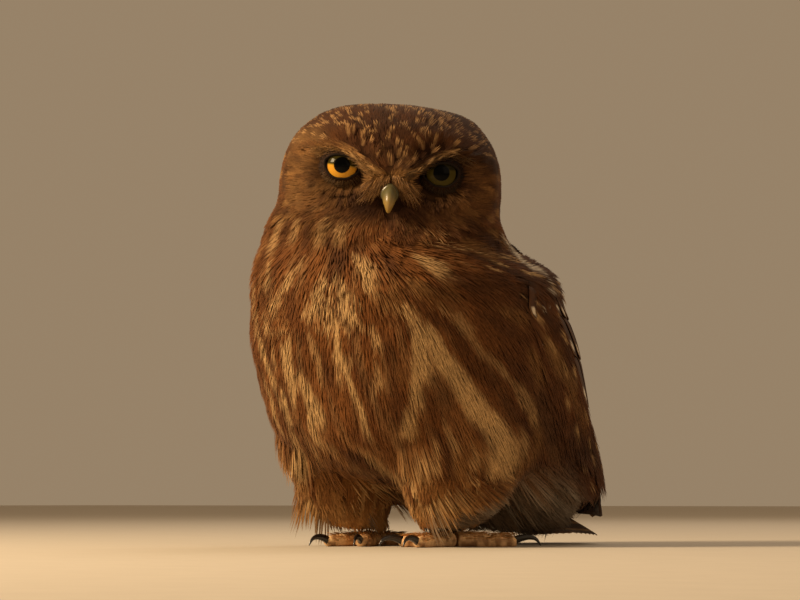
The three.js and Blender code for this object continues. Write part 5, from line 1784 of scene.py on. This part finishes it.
@dataclass
class Bristles:
    """The filaments round the bill, the fringe of the brows and the small hairs round the eyes."""

    count: int = 620

    def build(self) -> None:
        """Grows the three sets."""
        hairs = Hairs(901)
        draw = hairs.vary(self.count)
        side = np.where(np.arange(self.count) % 2 == 0, 1.0, -1.0)
        x = draw(0.3, 8.5)
        spread = draw(-3.4, 2.2) * np.interp(x, [0, 3], [0.35, 1])
        z = np.interp(x, [0, 3, 8.5], [137.6, 136.4, 133.5]) + spread
        root = self.on_face(side * x, z, 0.2)
        ahead = np.stack([side * (0.1 + 0.09 * x) * draw(0.6, 1.2), -draw(0.35, 0.7),
                          -draw(0.45, 1.0)], axis=1)
        ahead = turned_vector(unit(ahead))
        bend = turned_vector(np.stack([side * draw(-0.3, 1.2), draw(0.8, 2.2), -draw(0.4, 2.0)], axis=1))
        tan = (draw(0, 1) ** 0.8)[:, None]
        colour = UMBER * 1.5 * (1 - tan) + TAN * 1.1 * tan
        piece = hairs.build("bristles_bill", root, ahead, bend,
                            draw(3.0, 5.6) * np.interp(x, [0, 3], [0.55, 1]),
                            draw(0.10, 0.2), colour)
        dress(piece, BRISTLE)
        self.eye_hairs()
        place = draw(0.1, 0.95)
        line = np.stack([np.interp(place, np.linspace(0, 1, len(BROW_LINE)), BROW_LINE[:, k])
                         for k in (0, 1)], axis=1)
        x, z = line[:, 0] + draw(-0.8, 0.8), line[:, 1] + draw(-3.0, -0.6)
        root = self.on_face(side * x, z, 0.0)
        ahead = turned_vector(unit(np.stack([side * draw(0.7, 1.0), -draw(0.05, 0.3),
                                             np.interp(x, [4, 15, 26], [0.75, 0.4, -0.1])
                                             + draw(-0.3, 0.2)], axis=1)))
        bend = turned_vector(np.stack([side * 0.3, 0.7 + 0 * side, -draw(0.2, 1.0)], axis=1))
        # Painted shade: the fringe on the left side is half as bright, for the shade on that side of the
        # head.
        colour = TAN * draw(0.35, 1.25)[:, None] * np.where(side > 0, 0.35, 0.7)[:, None]
        piece = hairs.build("brow_fringe", root, ahead, bend,
                            draw(2.2, 4.4) * np.where(side > 0, 0.75, 1.0),
                            draw(0.08, 0.15), colour)
        dress(piece, BRISTLE)

    def eye_hairs(self) -> None:
        """Short hairs that lie outwards round each eye, from the lids' rim over their skin."""
        hairs = Hairs(905)
        draw = hairs.draw
        parts = []
        for side in SIDES.values():
            turn = draw.uniform(0, 2 * math.pi, self.count)
            centre, ahead, out, up = eye_axes(side)
            across = np.sin(turn)[:, None] * up - np.cos(turn)[:, None] * out
            rim = np.arcsin(np.minimum(Opening.reach(turn), 8) / (EYE_RADIUS + 0.45))
            angle = rim + draw.uniform(0.5, 2.8, self.count) / EYE_RADIUS
            face = np.cos(angle)[:, None] * ahead + np.sin(angle)[:, None] * across
            lie = unit(np.cos(angle)[:, None] * across - np.sin(angle)[:, None] * ahead + 0.3 * face)
            spin = 0.35 * draw.uniform(-1, 1, (self.count, 1)) * np.cross(face, lie)
            low = ease(-np.sin(turn), 0.1, 0.7)[:, None]
            tone = draw.uniform(0.4, 1.3, (self.count, 1))
            # Painted shade: the hairs round the left eye are at about a third of their brightness, for the
            # shade over that eye.
            parts.append((centre + face * (EYE_RADIUS + 0.15), unit(lie + spin), 0.5 * face,
                          (UMBER * 1.2 * (1 - low) + TAN * 0.35 * low) * tone
                          * (0.35 if side > 0 else 1.0)))
        roots, lies, bends, colours = (np.concatenate([part[k] for part in parts]) for k in range(4))
        total = len(roots)
        piece = hairs.build("eye_hairs", roots, lies, bends, draw.uniform(1.6, 3.0, total),
                            draw.uniform(0.08, 0.16, total), colours)
        dress(piece, BRISTLE)

    @staticmethod
    def on_face(x: Array, z: Array, lift: float) -> Array:
        """Places on the turned face above (x, z) of the straight head, from its own section there."""
        t = np.interp(-z, [-160, -149, -138.5, -128.5, -117], [2.0, 3.0, 4.0, 5.0, 6.0])
        a = np.arcsin(np.clip(x / 43.5, -0.9, 0.9)) * 0.93
        for _ in range(4):
            p = COAT.straight(t, a)
            t = t + (p[:, 2] - z) / 10.5
            a = a + (x - p[:, 0]) / 44
        return COAT.lifted(t, a, np.full(len(t), lift))


# Feet


@dataclass(frozen=True)
class Toe:
    """A toe's heading in degrees from straight ahead, outwards, and its length."""

    name: str
    heading: float
    length: float


TOES = (Toe("inner", -24, 18), Toe("middle", 6, 22), Toe("outer", 122, 20), Toe("hind", 188, 12))


@dataclass
class Foot:
    """Four padded, scaly toes with their claws."""

    name: str
    side: float
    radius: float = 3.1
    claw_radius: float = 1.45
    claw_length: float = 10.5

    def line(self, toe: Toe) -> tuple[Array, Array]:
        """A toe's start and heading on the floor."""
        heading = math.radians(toe.heading)
        ahead = np.array([self.side * math.sin(heading), -math.cos(heading), 0.0])
        return np.array([self.side * FOOT_OUT, FOOT_BACK, 0.0]) + ahead * 4.4, ahead

    def toe(self, toe: Toe) -> Object:
        """A toe in pads: the radius swells at each joint, and the sole is flattened where it stands."""
        start, ahead = self.line(toe)
        aside = np.array([-ahead[1], ahead[0], 0])
        s = np.linspace(0, 1, 60)[:, None]
        ring = np.linspace(0, 2 * math.pi, 24, endpoint=False)[None, :]
        scales = np.abs(np.sin(math.pi * 14 * s))
        pad = 1 + 0.09 * np.cos(2 * math.pi * (3 * s - 0.1)) + 0.03 * scales * (np.sin(ring) > 0)
        r = self.radius * np.interp(s, [0, 0.7, 0.92, 1], [1.0, 0.92, 0.78, 0.45]) * pad
        height = np.interp(s, [0, 0.3, 0.65, 1], [2.5, 2.25, 2.0, 1.9])
        z = np.maximum(height + 0.95 * r * np.sin(ring), 0.0)
        reach = -2 + s * (toe.length + 2.2)
        points = start + ahead * reach[..., None] + aside * (r * np.cos(ring))[..., None]
        points[..., 2] = z
        flat, triangles = tube(points)
        piece = mesh_object(f"toe_skin_{toe.name}_{self.name}", flat, outward(flat, triangles))
        scute = 0.8 + 0.4 * scales * (np.sin(ring) > 0.1)
        worn = mottle(reach + 0 * ring, ring * 3 + 0 * s, 2.2, int(abs(toe.heading)) + 5)
        base = blend(np.array([0.95, 0.6, 0.3]) * scute[..., None], RUFOUS, 0.7 * ease(worn, 0.4, 0.75))
        add_colour(piece, np.concatenate([base.reshape(-1, 3), base[0, :1], base[-1, :1]]))
        return dress(piece, LEATHER, (f"toe_{toe.name}_{self.name}",))

    def claw(self, toe: Toe) -> Object:
        """A curved, pointed claw, deeper than it is wide."""
        start, ahead = self.line(toe)
        share = np.array([[-0.12, 2.0], [0.12, 3.2], [0.45, 3.75], [0.72, 2.9], [0.9, 0.35]])
        knots = [start + ahead * (toe.length + k * self.claw_length) + [0, 0, h] for k, h in share]
        line = curve(np.array(knots), 40)
        tangent = unit(np.gradient(line, axis=0))
        aside = np.array([-ahead[1], ahead[0], 0])
        up = np.cross(aside, tangent)
        s = np.linspace(0, 1, 40)[:, None]
        ring = np.linspace(0, 2 * math.pi, 18, endpoint=False)[None, :]
        r = self.claw_radius * (1 - s**1.3) ** 0.8 + 0.05
        width = (r * np.cos(ring))[..., None] * 0.85 * aside
        depth = (r * np.sin(ring) * 1.1)[..., None] * up[:, None]
        points = line[:, None] + width + depth
        points[..., 2] = np.maximum(points[..., 2], 0.0)
        flat, triangles = tube(points)
        piece = mesh_object(f"claw_horn_{toe.name}_{self.name}", flat, outward(flat, triangles))
        add_colour(piece, np.tile([0.016, 0.012, 0.011], (len(flat), 1)))
        return dress(piece, CLAW, (f"claw_{toe.name}_{self.name}",))

    def bristles(self, count: int = 190) -> Object:
        """Short bristle feathers along the top and sides of the toes."""
        hairs = Hairs(911 if self.side > 0 else 912)
        draw = hairs.draw
        roots, lies, bends = [], [], []
        for toe in TOES:
            start, ahead = self.line(toe)
            aside = np.array([-ahead[1], ahead[0], 0])
            s = draw.uniform(-0.05, 0.86, count)
            turn = np.radians(draw.uniform(10, 170, count))
            height = np.interp(s, [0, 0.3, 0.65, 1], [2.5, 2.25, 2.0, 1.9])
            out = np.cos(turn)[:, None] * aside + np.sin(turn)[:, None] * np.array([0, 0, 1.0])
            radius = self.radius * np.interp(s, [0, 0.7, 0.92, 1], [1.0, 0.92, 0.78, 0.45])
            along = start + ahead * (-2 + s * (toe.length + 2.2))[:, None]
            roots.append(along + out * (0.93 * radius)[:, None] + [0, 0, 1] * height[:, None])
            lies.append(unit(ahead + 0.55 * out))
            bends.append(ahead * 0.5 - 0.9 * out)
        total = count * len(TOES)
        tan = draw.uniform(0.7, 1.6, (total, 1))
        piece = hairs.build(f"toe_bristles_{self.name}", np.concatenate(roots), np.concatenate(lies),
                            np.concatenate(bends),
                            draw.uniform(2.2, 4.2, total), draw.uniform(0.12, 0.24, total), TAN * 1.3 * tan)
        return dress(piece, BRISTLE)

    def build(self) -> None:
        """Makes the four toes and claws, and their bristles."""
        for toe in TOES:
            self.toe(toe)
            self.claw(toe)
        self.bristles()


# Studio


@dataclass
class Studio:
    """The floor, the lights and the camera at the photograph's angle."""

    azimuth: float = math.radians(38)
    elevation: float = math.radians(-4)
    distance: float = 1.1
    focal: float = 128.6
    aim_height: float = 0.0946
    aim_right: float = 0.0035

    def axes(self) -> tuple[Vector, Vector]:
        """The camera's view direction and its right."""
        a, e = self.azimuth, self.elevation
        look = Vector((-math.sin(a) * math.cos(e), math.cos(a) * math.cos(e), -math.sin(e)))
        return look, Vector((math.cos(a), math.sin(a), 0))

    def build(self) -> None:
        """Makes the camera, a pale floor and three soft lights."""
        look, right = self.axes()
        origin = Vector(SHIFT * MM)
        aim = Vector((origin.x, origin.y, self.aim_height)) + right * self.aim_right
        camera = bpy.data.objects.new("camera", bpy.data.cameras.new("camera"))
        camera.data.lens = self.focal
        camera.data.clip_start = 0.01
        camera.location = aim - look * self.distance
        camera.rotation_euler = look.to_track_quat("-Z", "Y").to_euler()
        bpy.context.collection.objects.link(camera)
        bpy.context.scene.camera = camera
        floor = bpy.data.objects.new("floor", bpy.data.meshes.new("floor"))
        floor.data.from_pydata([(-6, -6, 0), (6, -6, 0), (6, 6, 0), (-6, 6, 0)], [], [(0, 1, 2, 3)])
        floor.data.materials.append(FLOOR.material())
        bpy.context.collection.objects.link(floor)
        self.light("key", aim, right * -0.9 - look * 0.42 + Vector((0, 0, 0.62)), 0.3, 18.5,
                   (1, 0.76, 0.47))
        self.light("fill", aim, right * 0.9 - look * 1.1 + Vector((0, 0, 0.7)), 1.0, 1.5, (1, 0.8, 0.6))
        self.light("rim", aim, right * 0.4 + look * 0.9 + Vector((0, 0, 1.0)), 0.7, 4, (1, 0.86, 0.7))
        world = bpy.data.worlds.new("studio")
        world.use_nodes = True
        world.node_tree.nodes["Background"].inputs[0].default_value = (0.62, 0.45, 0.28, 1)
        world.node_tree.nodes["Background"].inputs[1].default_value = 0.5
        bpy.context.scene.world = world
        bpy.context.scene.view_settings.view_transform = "Standard"

    @staticmethod
    def light(name: str, aim: Vector, offset: Vector, size: float, power: float, colour: tuple) -> None:
        """A square soft light that looks at the bird."""
        lamp = bpy.data.objects.new(name, bpy.data.lights.new(name, "AREA"))
        lamp.data.size = size
        lamp.data.energy = power
        lamp.data.color = colour
        lamp.location = aim + offset
        lamp.rotation_euler = (-offset).to_track_quat("-Z", "Y").to_euler()
        bpy.context.collection.objects.link(lamp)


def main() -> None:
    """Builds the scene piece by piece."""
    logging.basicConfig(level=logging.INFO, format="%(name)s %(message)s")
    Studio().build()
    Skin().build()
    BodyCoat().build()
    for name, side in SIDES.items():
        Eye(name, side, *EYE_SHADE[name]).build()
        LegCoat(name, side).build()
        Wing(name, side).build()
        Foot(name, side).build()
    Bill().build()
    Bristles().build()
    Tail().build()


if __name__ == "__main__":
    main()
